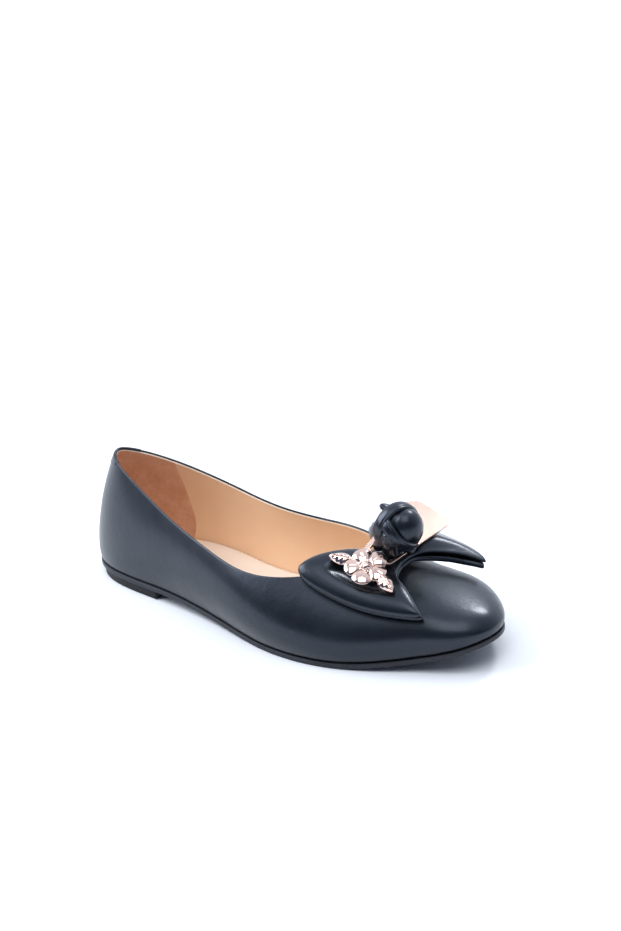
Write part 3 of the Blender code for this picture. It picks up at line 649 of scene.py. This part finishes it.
# The toe's crown is one even curve, so the normals round the ridge's end are blended.
crown_end = np.array([RIDGE_END * FOOT_LENGTH - HEEL_BLOCK_LENGTH / 2, 0, ridge(RIDGE_END)[0]])
co, normals = np.zeros(len(upper.data.vertices) * 3), np.zeros(len(upper.data.vertices) * 3)
upper.data.vertices.foreach_get("co", co)
upper.data.vertex_normals.foreach_get("vector", normals)
co, normals = co.reshape(-1, 3), normals.reshape(-1, 3)
away = np.linalg.norm(co - crown_end, axis=-1)
near = np.flatnonzero((away < 20 * MM) & (normals[:, 2] > 0.2))
apart = ((co[near][:, None] - co[near][None]) ** 2).sum(-1)
blended = np.exp(-apart / (2 * (3.5 * MM) ** 2)) @ normals[near]
blended /= np.linalg.norm(blended, axis=-1)[:, None]
share = (1 - smooth(away[near], 11 * MM, 18 * MM))[:, None]
normals[near] = normals[near] * (1 - share) + blended * share
upper.data.normals_split_custom_set_from_vertices(normals.tolist())


# Lining. Tan kid, glued to the inside of the calf up to the folded edge, with its raw edge paler
# than its face. A suede grip covers it round the heel.

LINING_TAN, LINING_PEACH, LINING_EDGE = "#F2D2AE", "#EBC096", "#F8E8D3"
LINING_PROUD, LINING_SHORT, EDGE_BEAD = 0.12 * MM, 0.5 * MM, 0.42 * MM
GRIP_BROWN, GRIP_RUST = "#DDAE90", "#CC9674"
GRIP_THICKNESS = 0.35 * MM

lining_parts = []
for side in (OUTER, INNER):
    length = run_down(upper_grid(side, rises)[0])[0]
    short = LINING_SHORT / length * (1 - smooth(np.arange(len(length)), BACK_COLUMNS - 30, BACK_COLUMNS - 1))
    points, normals, at = upper_grid(side, rises[:, None] * (1 - short))
    keep = points - normals * (wall(run_down(points)) + LINING_PROUD)[..., None]
    lining_parts.append((keep, grid_faces(*keep.shape[:2])))
tan_kid = lining_leather("tan_kid_lining", LINING_TAN, LINING_PEACH, 0.5)
piece("lining_kid", *merged(lining_parts), tan_kid, slot="insole")

bead_parts = []
ring = np.linspace(0, 2 * np.pi, 13)
for side in (OUTER, INNER):
    edge, normal, off = collar_frame(side)
    middle = edge - normal * (FOLD_THICKNESS + 0.1 * MM) - off * LINING_SHORT
    tube = np.array([middle + (normal * np.cos(a) + off * np.sin(a)) * EDGE_BEAD for a in ring])
    bead_parts.append((tube, grid_faces(len(ring), BACK_COLUMNS)))
raw_kid = lining_leather("raw_kid_edge", LINING_EDGE, SOCK_SAND, 0.7)
piece("lining_raw_edge", *merged(bead_parts), raw_kid, slot="insole")


def suede(name, pale, deep):
    """Split suede: matt, with a short nap that catches the light at its edges."""
    made, tree = new_finish(name)
    place = add(tree, "TexCoord").outputs["Object"]
    nap = add(tree, "TexNoise", {"Vector": place, "Scale": 700, "Detail": 4, "Roughness": 0.7})
    brushed = add(tree, "TexNoise", {"Vector": place, "Scale": 90, "Detail": 3})
    both = add(tree, "Math", {0: nap.outputs["Fac"], 1: brushed.outputs["Fac"]}, operation="MULTIPLY")
    spread = add(tree, "MapRange", {"Value": both.outputs[0], "From Min": 0.15, "From Max": 0.4})
    shade = add(tree, "MixRGB", {"Fac": spread.outputs[0], "Color1": linear(deep), "Color2": linear(pale)})
    bump = add(tree, "Bump", {"Height": nap.outputs["Fac"], "Strength": 0.25, "Distance": 0.0003})
    looks = {"Base Color": shade.outputs[0], "Roughness": 0.9, "Normal": bump.outputs[0], "IOR": 1.45}
    set_surface(tree, {**looks, "Sheen Weight": 0.5, "Sheen Roughness": 0.6, "Sheen Tint": linear(pale)})
    return made


GRIP_COLUMNS, GRIP_ROWS, GRIP_REACH = 80, 60, 38.4 * MM
grip_parts = []
for side in (OUTER, INNER):
    low, turn, up = upper_columns(side)
    rise = np.linspace(0.03, 0.992, GRIP_ROWS)
    points, normals, at = upper_grid(side, rise)
    front_edge = GRIP_REACH + 1.4 * MM * np.exp(-(((rise - 0.30) / 0.22) ** 2))
    part_way = np.linspace(0, 1, GRIP_COLUMNS)[None, :]
    index = np.arange(len(turn))
    rows = zip(front_edge, points[:, back_part, 0])
    last_column = np.array([np.interp(reach, row, index[back_part]) for reach, row in rows])
    column = part_way * last_column[:, None]
    low_at, top_at, up_at = (np.interp(column, index, values) for values in (low, turn, up))
    at = low_at + (top_at - low_at) * rise[:, None], up_at * rise[:, None]
    keep = last(side, *at)
    step = np.linalg.norm(np.diff(keep, axis=0), axis=-1)
    depth = np.concatenate([np.cumsum(step[::-1], axis=0)[::-1], np.zeros((1, GRIP_COLUMNS))])
    proud = GRIP_THICKNESS * np.clip((1 - part_way) / 0.03, 0, 1) ** 0.5
    face = keep - outward(side, *at) * (wall(depth) + LINING_PROUD + proud)[..., None]
    grip_parts.append((face, grid_faces(GRIP_ROWS, GRIP_COLUMNS)))
piece("heel_grip", *merged(grip_parts), suede("split_suede_grip", GRIP_BROWN, GRIP_RUST), slot="insole")


# Back tab. A short strip of the calf, folded over the collar at the back of the heel and glued
# down on both sides, which covers the end of the back seam.

TAB_HALF, TAB_OUTSIDE, TAB_INSIDE, TAB_THICKNESS = 13 * MM, 6.2 * MM, 0.3 * MM, 0.3 * MM
tab_parts = []
for side in (OUTER, INNER):
    edge, normal, off = collar_frame(side)
    run = np.r_[0, np.cumsum(np.linalg.norm(np.diff(edge, axis=0), axis=-1))]
    count = int(np.searchsorted(run, TAB_HALF))
    edge, normal, off, run = edge[:count], normal[:count], off[:count], run[:count]
    points, normals, at = upper_grid(side, rises)
    depth, skin = run_down(points)[::-1, :count], leather[side][::-1, :count]
    thick = TAB_THICKNESS * np.clip((TAB_HALF - run) / (0.8 * MM), 0, 1) ** 0.5
    fall = TAB_OUTSIDE * (0.1 + 0.9 * np.clip(1 - (run / TAB_HALF) ** 2, 0, 1) ** 0.6)
    rows = []
    for k in np.r_[1.0, 0.99, 0.97, 0.94, 0.9, np.linspace(0.85, 0, 14)]:
        lines = ((fall[c] * k, depth[:, c], skin[:, c].T) for c in range(count))
        place = np.array([[np.interp(at, down, values) for values in line] for at, down, line in lines])
        proud = thick * np.clip((1.0 - k) / 0.10, 0, 1) ** 0.5 - 0.06 * MM * (k == 1)
        rows.append(place + normal * proud[:, None])
    half = FOLD_THICKNESS / 2
    for a in np.linspace(0, np.pi, 13)[1:]:
        rows.append(edge - normal * half + (normal * np.cos(a) + off * np.sin(a)) * (half + thick[:, None]))
    rows.append(edge - normal * (FOLD_THICKNESS + 0.1 * MM) - off * TAB_INSIDE)
    tab_parts.append((rows, grid_faces(len(rows), count)))
piece("back_tab", *merged(tab_parts), calf, slot="upper")


# Bow. Two padded layers of the same calf, each cut as one piece for both wings and pinched at the
# neck. The upper one is dished inside a thick rim. The outer wing is pulled down on the shoe, and
# the inner one stands off it.

BOW_PLACE, REAR_CORNER, FRONT_CORNER = 0.742, 0.075, 0.045
BOW_BASE_THICKNESS, BOW_RIM_THICKNESS, BOW_NECK_THICKNESS = 2.6 * MM, 5.2 * MM, 3.6 * MM
OUTER_WING = columns(
    "reach rear front rear_up mid_up front_up rear_lift mid_lift front_lift",
    [
        (0.00, -0.036, 0.036, 1.00, 1.00, 1.00, 0.0, 0.0, 0.0),
        (0.30, -0.066, 0.055, 0.92, 0.89, 0.86, 0.1, 0.0, 0.0),
        (0.65, -0.116, 0.098, 0.79, 0.71, 0.75, 0.2, 0.1, 0.1),
        (1.00, -0.163, 0.160, 0.61, 0.526, 0.48, 0.2, 0.1, 0.3),
    ],
)
INNER_WING = columns(
    "reach rear front rear_up mid_up front_up rear_lift mid_lift front_lift",
    [
        (0.00, -0.036, 0.036, 1.00, 1.00, 1.00, 0.0, 0.0, 0.0),
        (0.30, -0.066, 0.042, 0.92, 0.89, 0.85, 0.1, 0.3, 0.9),
        (0.65, -0.112, 0.087, 0.745, 0.72, 0.69, 0.1, 1.3, 1.7),
        (1.00, -0.150, 0.152, 0.535, 0.51, 0.45, 0.1, 3.8, 1.7),
    ],
)
BOW_ROWS, BOW_COLUMNS = 71, 191
RIM_WIDTH, DISH_WIDTH, DISH_DEPTH = 7.0 * MM, 4.6 * MM, 3.7 * MM
ROLL_ROUND, BASE_ROUND, UNDER_ROUND, BASE_PROUD = 6.5 * MM, 1.4 * MM, 1.1 * MM, 0.5 * MM
LEAF_EDGE, LEAF_CROWN, LEAF_SWELL, BASE_DROOP = 2.2 * MM, 7.4 * MM, 15 * MM, 1.2 * MM
PINCHES = ((-0.62, 0.16, 0.4), (-0.18, 0.12, 0.3), (0.22, 0.13, 0.35), (0.60, 0.15, 0.4))


def wing_place(side, reach, across):
    """(turn, up, lift) on the shoe of a point of a wing, across from -1 at the rear to 1 at the front."""
    table = OUTER_WING if side == OUTER else INNER_WING
    at = {name: spline(reach, table["reach"], table[name]) for name in table}
    middle, half = (at["rear"] + at["front"]) / 2, (at["front"] - at["rear"]) / 2

    def bent(name):
        rear, mid, front = (at[part + name] for part in ("rear_", "mid_", "front_"))
        return mid + (front - rear) / 2 * across + ((front + rear) / 2 - mid) * across**2

    return turn_at(BOW_PLACE + middle + half * across), bent("up"), bent("lift") * BOW_BASE_THICKNESS


def wing_sheet(reach, across, height):
    """Points of a sheet over both wings, reach from -1 (outer side) to 1 (inner side)."""
    reach, across, height = np.broadcast_arrays(reach, across, height)
    found = np.zeros((*reach.shape, 3))
    for side in (OUTER, INNER):
        mine = reach * side >= 0
        turn, up, lift = wing_place(side, np.abs(reach[mine]), across[mine])
        up = np.clip(up, 0, 1)
        normal = outward(side, turn, up)
        normal[up > 1 - 1e-6, 1] = 0
        found[mine] = last(side, turn, up) + normal * (lift + height[mine])[..., None]
    return found


def layer(low, high, edge_round, proud):
    """Points and faces of a padded layer between two heights, with round edges."""
    even_reach, even_across = np.linspace(-1, 1, BOW_COLUMNS)[None, :], np.linspace(-1, 1, BOW_ROWS)[:, None]
    reach = np.sin(even_reach * np.pi / 2) * 0.5 + even_reach * 0.5
    across = np.sin(even_across * np.pi / 2) * 0.8 + even_across * 0.2
    corner = np.where(across < 0, REAR_CORNER, FRONT_CORNER)
    reach_in = reach * (1 - corner * np.abs(across) ** 10)
    across_in = across * (1 - corner * np.abs(reach) ** 10)
    place = wing_sheet(reach_in, across_in, 0)
    width = np.linalg.norm(np.diff(place, axis=0), axis=-1).sum(axis=0)[None, :] / 2
    length = np.linalg.norm(np.diff(place, axis=1), axis=-1).sum(axis=1)[:, None] / 2
    from_side, from_tip = width * (1 - np.abs(across)) + 1e-6, length * (1 - np.abs(reach)) + 1e-6
    inward = (from_side**-3.0 + from_tip**-3.0) ** (-1 / 3)
    bottom, top = low(reach_in, across_in, inward), high(reach_in, across_in, inward)
    middle = bottom * 0.6 + top * 0.4
    rounds = edge_round, UNDER_ROUND
    swell, under = (np.sqrt(1 - (1 - np.clip(inward / size, 0, 1)) ** 2) for size in rounds)
    spread = 1 + proud / np.maximum(width, 12 * MM)
    upper_sheet = wing_sheet(reach_in, across_in * spread, middle + (top - middle) * swell)
    lower_sheet = wing_sheet(reach_in, across_in * spread, middle - (middle - bottom) * under)
    faces = grid_faces(BOW_ROWS, BOW_COLUMNS)
    return merged([(upper_sheet, faces), (lower_sheet, faces[:, ::-1])])


bow_seam = 2 * FIT_GAP + BOW_BASE_THICKNESS


def bow_top(reach, across, inward):
    """The upper face: a rolled rim round a dish on the outer wing, a swelling leaf on the inner one."""
    side, reach = reach, np.abs(reach)
    wing = smooth(reach, 0.10, 0.45)
    rim = BOW_NECK_THICKNESS + (BOW_RIM_THICKNESS - BOW_NECK_THICKNESS) * wing
    roll = rim - DISH_DEPTH * smooth(inward, RIM_WIDTH, RIM_WIDTH + DISH_WIDTH) * smooth(reach, 0.12, 0.42)
    crown = rim + (LEAF_CROWN - BOW_RIM_THICKNESS) * wing * smooth(across, -0.6, 0.2)
    flat_rear = 0.45 * (1 - smooth(across, -1.0, 0.1)) * (1 - smooth(reach, 0.4, 0.8))
    leaf = (LEAF_EDGE + (crown - LEAF_EDGE) * smooth(inward, 0, LEAF_SWELL)) * (1 - flat_rear)
    inner = smooth(side, 0.0, 0.30)
    folds = 0
    for place, width, size in PINCHES:
        run = smooth(reach, 0.02, 0.14) * (1 - smooth(reach, 0.22, 0.62))
        off_fold = (across - place * (1 - 0.25 * reach)) / (width * (0.7 + reach))
        folds = folds + size * MM * np.exp(-(off_fold**2)) * run
    return bow_seam + roll * (1 - inner) + leaf * inner + folds


def bow_top_floor(reach, across, inward):
    return bow_seam + 0 * reach * across


def bow_base_floor(reach, across, inward):
    """The lower layer droops away from the upper one along the front of the inner wing."""
    wing = smooth(reach, 0.15, 0.55) * (1 - smooth(reach, 0.75, 1.0))
    return FIT_GAP - BASE_DROOP * wing * smooth(across, 0.0, 0.95)


def bow_base_top(reach, across, inward):
    return bow_base_floor(reach, across, inward) + BOW_BASE_THICKNESS


bow_leather = black_calf("waxed_black_calf_bow", roughness=0.30)
base_shape = layer(bow_base_floor, bow_base_top, BASE_ROUND, BASE_PROUD)
top_shape = layer(bow_top_floor, bow_top, ROLL_ROUND, 0.0)
base = piece("bow_lower_layer", *base_shape, bow_leather, slot="bow", replaces=["bow_base"])
top = piece("bow_upper_layer", *top_shape, bow_leather, slot="bow", replaces=["bow_top"])


# Knot. A ball tied from a folded strap of the calf. One turn hoods its back, one crosses its outer
# side, two strands run down into the bow, and the strap's end is tucked in at the top.

KNOT_LENGTH, KNOT_WIDTH, KNOT_HEIGHT = 22.5 * MM, 18.2 * MM, 23.5 * MM
KNOT_AHEAD, KNOT_INWARD, KNOT_LIFT, KNOT_TURN = 1.3 * MM, 1.7 * MM, 14.8 * MM, 0.72
STRAP_WIDTH, STRAP_THICKNESS, STRAND_WIDTH = 6.6 * MM, 3.0 * MM, 6.8 * MM
PLATE_OPENING_WIDTH, PLATE_OPENING_LENGTH, PLATE_ARM_LEAN = 14.6 * MM, 20.0 * MM, 1.2 * MM

height, slope = ridge(BOW_PLACE)
ridge_up = Vector((-slope, 0, 1)).normalized()
on_ridge = Vector((BOW_PLACE * FOOT_LENGTH - HEEL_BLOCK_LENGTH / 2, 0, height))
bow_middle = on_ridge + ridge_up * (bow_seam + BOW_NECK_THICKNESS)
bow_axes = Matrix((Vector((1, 0, slope)).normalized(), (0, 1, 0), ridge_up)).transposed()
bow_frame = Matrix.Translation(bow_middle) @ bow_axes.to_4x4()


def placed(points, matrix):
    """Points moved by a matrix."""
    m = np.array(matrix)
    return np.asarray(points) @ m[:3, :3].T + m[:3, 3]


def egg(size, matrix, rings=40, around=64):
    """Points and faces of a closed egg of the three sizes."""
    up, turn = np.linspace(-np.pi / 2, np.pi / 2, rings)[:, None], np.linspace(0, 2 * np.pi, around)[None, :]
    axes = np.cos(up) * np.cos(turn), np.cos(up) * np.sin(turn), np.sin(up)
    unit = np.stack(np.broadcast_arrays(*axes), -1) / 2
    return placed(unit * size, matrix).reshape(-1, 3), grid_faces(rings, around)


def strap(centres, facing, width, thickness, around=20, line=0.25 * MM):
    """Points and faces of a padded strap along its centres. A fine line runs by each edge of its face."""
    centres, facing = np.asarray(centres, float), np.asarray(facing, float)
    along = np.gradient(centres, axis=0)
    along /= np.linalg.norm(along, axis=-1)[:, None]
    facing = facing - along * (facing * along).sum(-1)[:, None]
    facing /= np.linalg.norm(facing, axis=-1)[:, None]
    side = np.cross(along, facing)
    a = np.linspace(0, 2 * np.pi, around * 2 + 1)
    wide, tall = np.sign(np.cos(a)) * np.abs(np.cos(a)) ** 0.75, np.sign(np.sin(a)) * np.abs(np.sin(a)) ** 0.8
    groove = line * np.exp(-(((np.abs(wide) - 0.66) / 0.09) ** 2)) * (tall > 0)
    width, thickness = (np.broadcast_to(size, len(centres))[None, :, None] for size in (width, thickness))
    wide, tall, groove = wide[:, None, None], tall[:, None, None], groove[:, None, None]
    points = centres[None] + side[None] * wide * width / 2 + facing[None] * (tall * thickness / 2 - groove)
    return points.reshape(-1, 3), grid_faces(len(a), len(centres))


knot_middle = Vector((KNOT_AHEAD, KNOT_INWARD, KNOT_LIFT))


def ring_strap(middle, axis, wide, tall, start, end, width, thickness=STRAP_THICKNESS, taper=0.0, count=72):
    """A strap along part of an oval ring round the ball."""
    aim = Vector(axis).to_track_quat("Z", "Y").to_matrix().to_4x4()
    a = np.linspace(math.radians(start), math.radians(end), count)
    out = np.stack([np.cos(a), np.sin(a), 0 * a], -1)
    centres = placed(out * (wide / 2, tall / 2, 1), bow_frame @ Matrix.Translation(middle) @ aim)
    facing = placed(out * (tall, wide, 1), (bow_frame @ aim).to_3x3().to_4x4())
    share = np.linspace(0, 1, count)
    ends = np.clip(np.minimum(share, 1 - share) / 0.06, 0, 1) ** 0.5
    width = width * (1 - taper * (2 * share - 1) ** 2) * (0.25 + 0.75 * ends)
    return strap(centres, facing, width, thickness * (0.2 + 0.8 * ends))


def from_knot(*places):
    """Points given from the knot's middle along its own three axes, in mm."""
    ways = np.array([(0.792, 0.596, 0.130), (-0.434, 0.401, 0.806), (0.429, -0.695, 0.577)])
    return np.array(knot_middle) + np.array(places) * MM @ ways


def run_strap(places, width, thickness, count=40):
    """A strap through places given from the knot's middle, whose flat faces away from the knot."""
    given = from_knot(*places)
    at = np.linspace(0, len(places) - 1, count)
    line = np.stack([spline(at, np.arange(len(places)), given[:, axis]) for axis in range(3)], -1)
    ends = 0.3 + 0.7 * np.clip(np.minimum(at, at[::-1]) / 0.25, 0, 1) ** 0.5
    facing = placed(line - np.array(knot_middle), bow_frame.to_3x3().to_4x4())
    return strap(placed(line, bow_frame), facing, width * ends, thickness * ends)


neck_width = PLATE_OPENING_WIDTH - PLATE_ARM_LEAN - 2 * FIT_GAP
foot_height = FIT_GAP + 0.45 * KNOT_LIFT
ball_turn = Matrix.Rotation(KNOT_TURN, 4, "Z")
ball_place = Matrix.Translation(knot_middle) @ ball_turn
dome_place = Matrix.Translation(Vector(from_knot((3.0, 0.4, 1.2))[0])) @ ball_turn
neck_place = Matrix.Translation((0, 0, foot_height))
hood_middle, hood_axis = knot_middle + Vector((-1.9 * MM, 0.7 * MM, 0)), (0.93, -0.34, 0.11)
hood_size = KNOT_LENGTH * 0.98, KNOT_HEIGHT * 0.98
band_size, band_axis = KNOT_LENGTH * 0.93, (0.50, 0.36, 0.79)
knot_parts = [
    egg((KNOT_LENGTH * 0.86, KNOT_WIDTH * 0.92, KNOT_HEIGHT * 0.92), bow_frame @ ball_place),
    egg((KNOT_LENGTH * 0.80, KNOT_WIDTH * 0.98, KNOT_HEIGHT * 0.90), bow_frame @ dome_place),
    egg((neck_width, neck_width, 2 * (foot_height - FIT_GAP)), bow_frame @ neck_place),
    ring_strap(hood_middle, hood_axis, *hood_size, -80, 250, STRAP_WIDTH, taper=0.15),
    ring_strap(knot_middle, band_axis, band_size, band_size, 0, 360, STRAP_WIDTH * 0.9),
    run_strap([(-5.0, 0.0, 7.0), (-8.2, -5.0, 2.5), (-10.6, -9.6, -6.0)], STRAND_WIDTH * 0.8, 4.6 * MM),
    run_strap([(-4.5, -1.5, 8.0), (-4.6, -7.4, 4.6), (-3.6, -12.9, -2.0)], STRAND_WIDTH * 1.1, 5.0 * MM),
    run_strap([(7.0, -1.0, -7.5), (6.4, -7.0, -7.0), (3.4, -12.0, -6.0)], STRAND_WIDTH, 5.0 * MM),
]
end_turn = Matrix.Rotation(0.4, 4, "Z") @ Matrix.Rotation(0.2, 4, "Y")
end_place = Matrix.Translation(Vector(from_knot((-5.6, 10.0, -1.5))[0])) @ end_turn
knot_parts.append(egg((STRAP_WIDTH * 1.25, STRAP_WIDTH * 0.85, STRAP_THICKNESS * 1.1), bow_frame @ end_place))
piece("knot_straps", *merged(knot_parts), bow_leather, slot="bow", replaces=["knot"], from_heel=False)


# Plate. Stamped brass sheet, plated pale rose gold, with tumbled edges and a fine brushed face. Its colour is
# that plating darkened, as painted shade. It goes round the knot's neck, bare at its inner end, with a bar at
# its outer end.

PLATE_WIDTH, PLATE_REACH, PLATE_THICKNESS = 25.5 * MM, 42 * MM, 1.5 * MM
PLATE_LIFT, PLATE_ARM_WIDTH = 2.7 * MM, 1.6 * MM
PLATE_BEVEL = 0.3 * MM
# The third colour is the plating darkened for the brushed plate: painted shade, which keeps the plate from
# burning out where it mirrors the back soft box.
ROSE_PALE, ROSE_DEEP, ROSE_PAINTED_SHADE = "#F3DDD2", "#D6AE9C", "#C9B0A5"
BRUSH_PITCH = 0.25  # mm between brush lines, about three times the real ones, so that they show


def rounded(corners, radius, steps=9):
    """Points of a closed outline with round corners, each corner a place and its radius's share."""
    points, n = [], len(corners)
    for i in range(n):
        here = np.array(corners[i][:2])
        before, after = np.array(corners[i - 1][:2]) - here, np.array(corners[(i + 1) % n][:2]) - here
        before, after = before / np.linalg.norm(before), after / np.linalg.norm(after)
        half = np.arccos(np.dot(before, after)) / 2
        size = radius * corners[i][2]
        centre = here + (before + after) / np.linalg.norm(before + after) * size / np.sin(half)
        start, end = here + before * size / np.tan(half) - centre, here + after * size / np.tan(half) - centre
        for k in range(steps):
            arm = start * (1 - k / (steps - 1)) + end * k / (steps - 1)
            points.append(centre + arm / np.linalg.norm(arm) * size)
    return points


def rose_gold(name, roughness, brushed):
    """Rose-gold plate: pale and warm, and on the brushed plate darkened as painted shade. Brushing draws its
    highlights out across the lines.
    """
    made, tree = new_finish(name)
    place = add(tree, "TexCoord").outputs["Object"]
    tone = add(tree, "TexNoise", {"Vector": place, "Scale": 55, "Detail": 3})
    # On the brushed plate the first colour is the plating darkened as painted shade; the cast blossom keeps
    # the plain pale plating.
    pale = linear(ROSE_PAINTED_SHADE if brushed else ROSE_PALE)
    shade = add(tree, "MixRGB", {"Fac": tone.outputs["Fac"], "Color1": pale, "Color2": linear(ROSE_DEEP)})
    pitch = (1000 / BRUSH_PITCH, 30, 1000 / BRUSH_PITCH) if brushed else (260, 260, 260)
    stretched = add(tree, "Mapping", {"Vector": place, "Scale": pitch})
    lines = add(tree, "TexNoise", {"Vector": stretched.outputs[0], "Scale": 1.0, "Detail": 2})
    rubbed = {"To Min": roughness - 0.05, "To Max": roughness + 0.08}
    rub = add(tree, "MapRange", {"Value": lines.outputs["Fac"], **rubbed})
    strength = 0.10 if brushed else 0.05
    bump = add(tree, "Bump", {"Height": lines.outputs["Fac"], "Strength": strength, "Distance": 0.0001})
    looks = {"Base Color": shade.outputs[0], "Roughness": rub.outputs[0], "Normal": bump.outputs[0]}
    set_surface(tree, {**looks, "Metallic": 1.0})
    return made


opening_x, opening_y = PLATE_OPENING_WIDTH / 2, PLATE_OPENING_LENGTH / 2
front, outer_end = opening_x + PLATE_ARM_WIDTH, -opening_y - 1.5 * PLATE_ARM_WIDTH
rear, inner_rear = -front, front - PLATE_WIDTH
outline = [
    (front - PLATE_ARM_LEAN, outer_end, 0.5),
    (front, PLATE_REACH * 0.93, 1.0),
    (inner_rear, PLATE_REACH, 1.3),
    (inner_rear, PLATE_REACH * 0.66, 0.8),
    (rear, outer_end, 0.5),
]
opening = [
    (opening_x - PLATE_ARM_LEAN, -opening_y, 0.8),
    (opening_x, opening_y, 0.8),
    (-opening_x, opening_y, 0.8),
    (-opening_x, -opening_y, 0.8),
]
sheet_metal = bpy.data.curves.new("plate", "CURVE")
sheet_metal.dimensions, sheet_metal.fill_mode = "2D", "BOTH"
sheet_metal.extrude, sheet_metal.offset = PLATE_THICKNESS / 2 - PLATE_BEVEL, -PLATE_BEVEL
sheet_metal.bevel_depth, sheet_metal.bevel_resolution = PLATE_BEVEL, 3
for corners in (outline, opening):
    points = rounded(corners, PLATE_WIDTH * 0.2)
    line = sheet_metal.splines.new("POLY")
    line.points.add(len(points) - 1)
    line.use_cyclic_u = True
    for point, (x, y) in zip(line.points, points):
        point.co = (x, y, 0, 1)
stamped = bpy.data.objects.new("plate_stamped", sheet_metal)
bpy.context.scene.collection.objects.link(stamped)
plate_mesh = bpy.data.meshes.new_from_object(stamped.evaluated_get(bpy.context.evaluated_depsgraph_get()))
bpy.data.objects.remove(stamped)
plate = bpy.data.objects.new("plate_stamped", plate_mesh)
plate_mesh.transform(bow_frame @ Matrix.Translation((0, 0, PLATE_LIFT + PLATE_THICKNESS / 2)))
plate_mesh.materials.clear()
plate_mesh.materials.append(rose_gold("rose_gold_plate_brushed_painted_shade", 0.15, True))
bpy.context.scene.collection.objects.link(plate)
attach(plate, "root")
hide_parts("ornament_plate")


# Blossom. A cast and polished flower of five cupped petals round a beaded boss, between two
# leaves, in the same plating. It hangs from the plate's outer bar, over the outer wing.

BLOSSOM_WIDTH, BLOSSOM_HEIGHT, BLOSSOM_DROP = 21.5 * MM, 4.0 * MM, 0.35
LEAF_LENGTH, LEAF_WIDTH, BOSS_BEAD, BAR_ROUND = 12.5 * MM, 7.0 * MM, 1.5 * MM, 3.6 * MM
AROUND, OUTWARD, LEAF_ROWS, LEAF_COLUMNS = 241, 46, 41, 33
hinge = Matrix.Translation((0, outer_end, PLATE_LIFT + PLATE_THICKNESS + FIT_GAP))
hung = Matrix.Rotation(BLOSSOM_DROP, 4, "X") @ Matrix.Translation((0, -0.38 * BLOSSOM_WIDTH, 0))
blossom_pose = bow_frame @ hinge @ hung

angle = np.linspace(0, 2 * np.pi, AROUND)[None, :]
radius = np.sin(np.linspace(0, np.pi / 2, OUTWARD))[:, None]
petal = np.abs(np.cos(2.5 * angle))
border = BLOSSOM_WIDTH / 2 * (0.76 + 0.24 * petal**0.55)
cup = np.clip(1 - ((radius - 0.62) / 0.42) ** 2, 0, 1) ** 0.5
vein = 0.05 * np.exp(-(((petal - 1) / 0.012) ** 2)) * smooth(radius, 0.35, 0.6)
vein = vein * (1 - smooth(radius, 0.8, 0.97))
face_height = 0.22 + 0.50 * cup * (0.25 + 0.75 * petal**0.45) - vein
boss = 0.38 + 0.62 * np.clip(1 - (radius / 0.27) ** 2, 0, 1) ** 0.5
face_height = np.where(radius < 0.27, np.maximum(face_height, boss), face_height)
flat_x, flat_y = border * radius * np.cos(angle), border * radius * np.sin(angle)
face = np.stack([flat_x, flat_y, BLOSSOM_HEIGHT * face_height], -1)
rim_rows = np.repeat(face[-1:], 2, axis=0)
rim_rows[:, :, 2] = BLOSSOM_HEIGHT * np.array([[0.12], [0.02]])
rim_rows[1, :, :2] *= 0.96
flower = np.concatenate([face, rim_rows, rim_rows[1:] * (0, 0, 1)])
blossom_parts = [(placed(flower, blossom_pose), grid_faces(OUTWARD + 3, AROUND))]
for k in range(5):
    middle = math.radians(72 * k + 36)
    bead_place = Vector((math.cos(middle), math.sin(middle), 0)) * 0.155 * BLOSSOM_WIDTH
    bead_place.z = 0.46 * BLOSSOM_HEIGHT
    blossom_parts.append(egg((BOSS_BEAD,) * 3, blossom_pose @ Matrix.Translation(bead_place), 14, 20))
for side in (-1, 1):
    along, over = np.linspace(0, 1, LEAF_ROWS)[:, None], np.linspace(-1, 1, LEAF_COLUMNS)[None, :]
    wide = LEAF_WIDTH / 2 * np.sin(np.pi * along**0.8) ** 0.8
    ribs = 0.06 * np.cos(2 * np.pi * (along * 5 - 0.7 * np.abs(over)))
    ribs = ribs * smooth(np.abs(over), 0.08, 0.3) * (1 - smooth(np.abs(over), 0.75, 1.0))
    crown_height = (1 - np.abs(over) ** 2.2) * (0.55 + ribs) - 0.22 * np.exp(-((over / 0.07) ** 2)) + 0.08
    reach = BLOSSOM_WIDTH / 2 + 0.22 * LEAF_LENGTH
    outline_turn = Matrix.Rotation(side * -0.35, 4, "Z") @ Matrix.Diagonal((side, 1, 1, 1))
    pose = blossom_pose @ Matrix.Translation((side * reach, -0.12 * BLOSSOM_WIDTH, 0)) @ outline_turn
    for rise in (0.1 + crown_height * np.sin(np.pi * along) ** 0.35, 0.05 + 0 * along * over):
        sheet = np.broadcast_arrays(LEAF_LENGTH * (along - 0.5), wide * over, BLOSSOM_HEIGHT * rise)
        blossom_parts.append((placed(np.stack(sheet, -1), pose), grid_faces(LEAF_ROWS, LEAF_COLUMNS)))
bar_place = Vector((0, outer_end + 0.5 * MM, PLATE_LIFT + PLATE_THICKNESS / 2))
bar = ring_strap(bar_place, (1, 0, 0), BAR_ROUND, BAR_ROUND, 0, 360, 3.2 * MM, thickness=0.9 * MM)
blossom_parts.append(bar)
cast = rose_gold("rose_gold_cast_polished", 0.12, False)
own = {"slot": "metal", "replaces": ["ornament_blossom"], "from_heel": False}
piece("blossom_cast", *merged(blossom_parts), cast, **own)
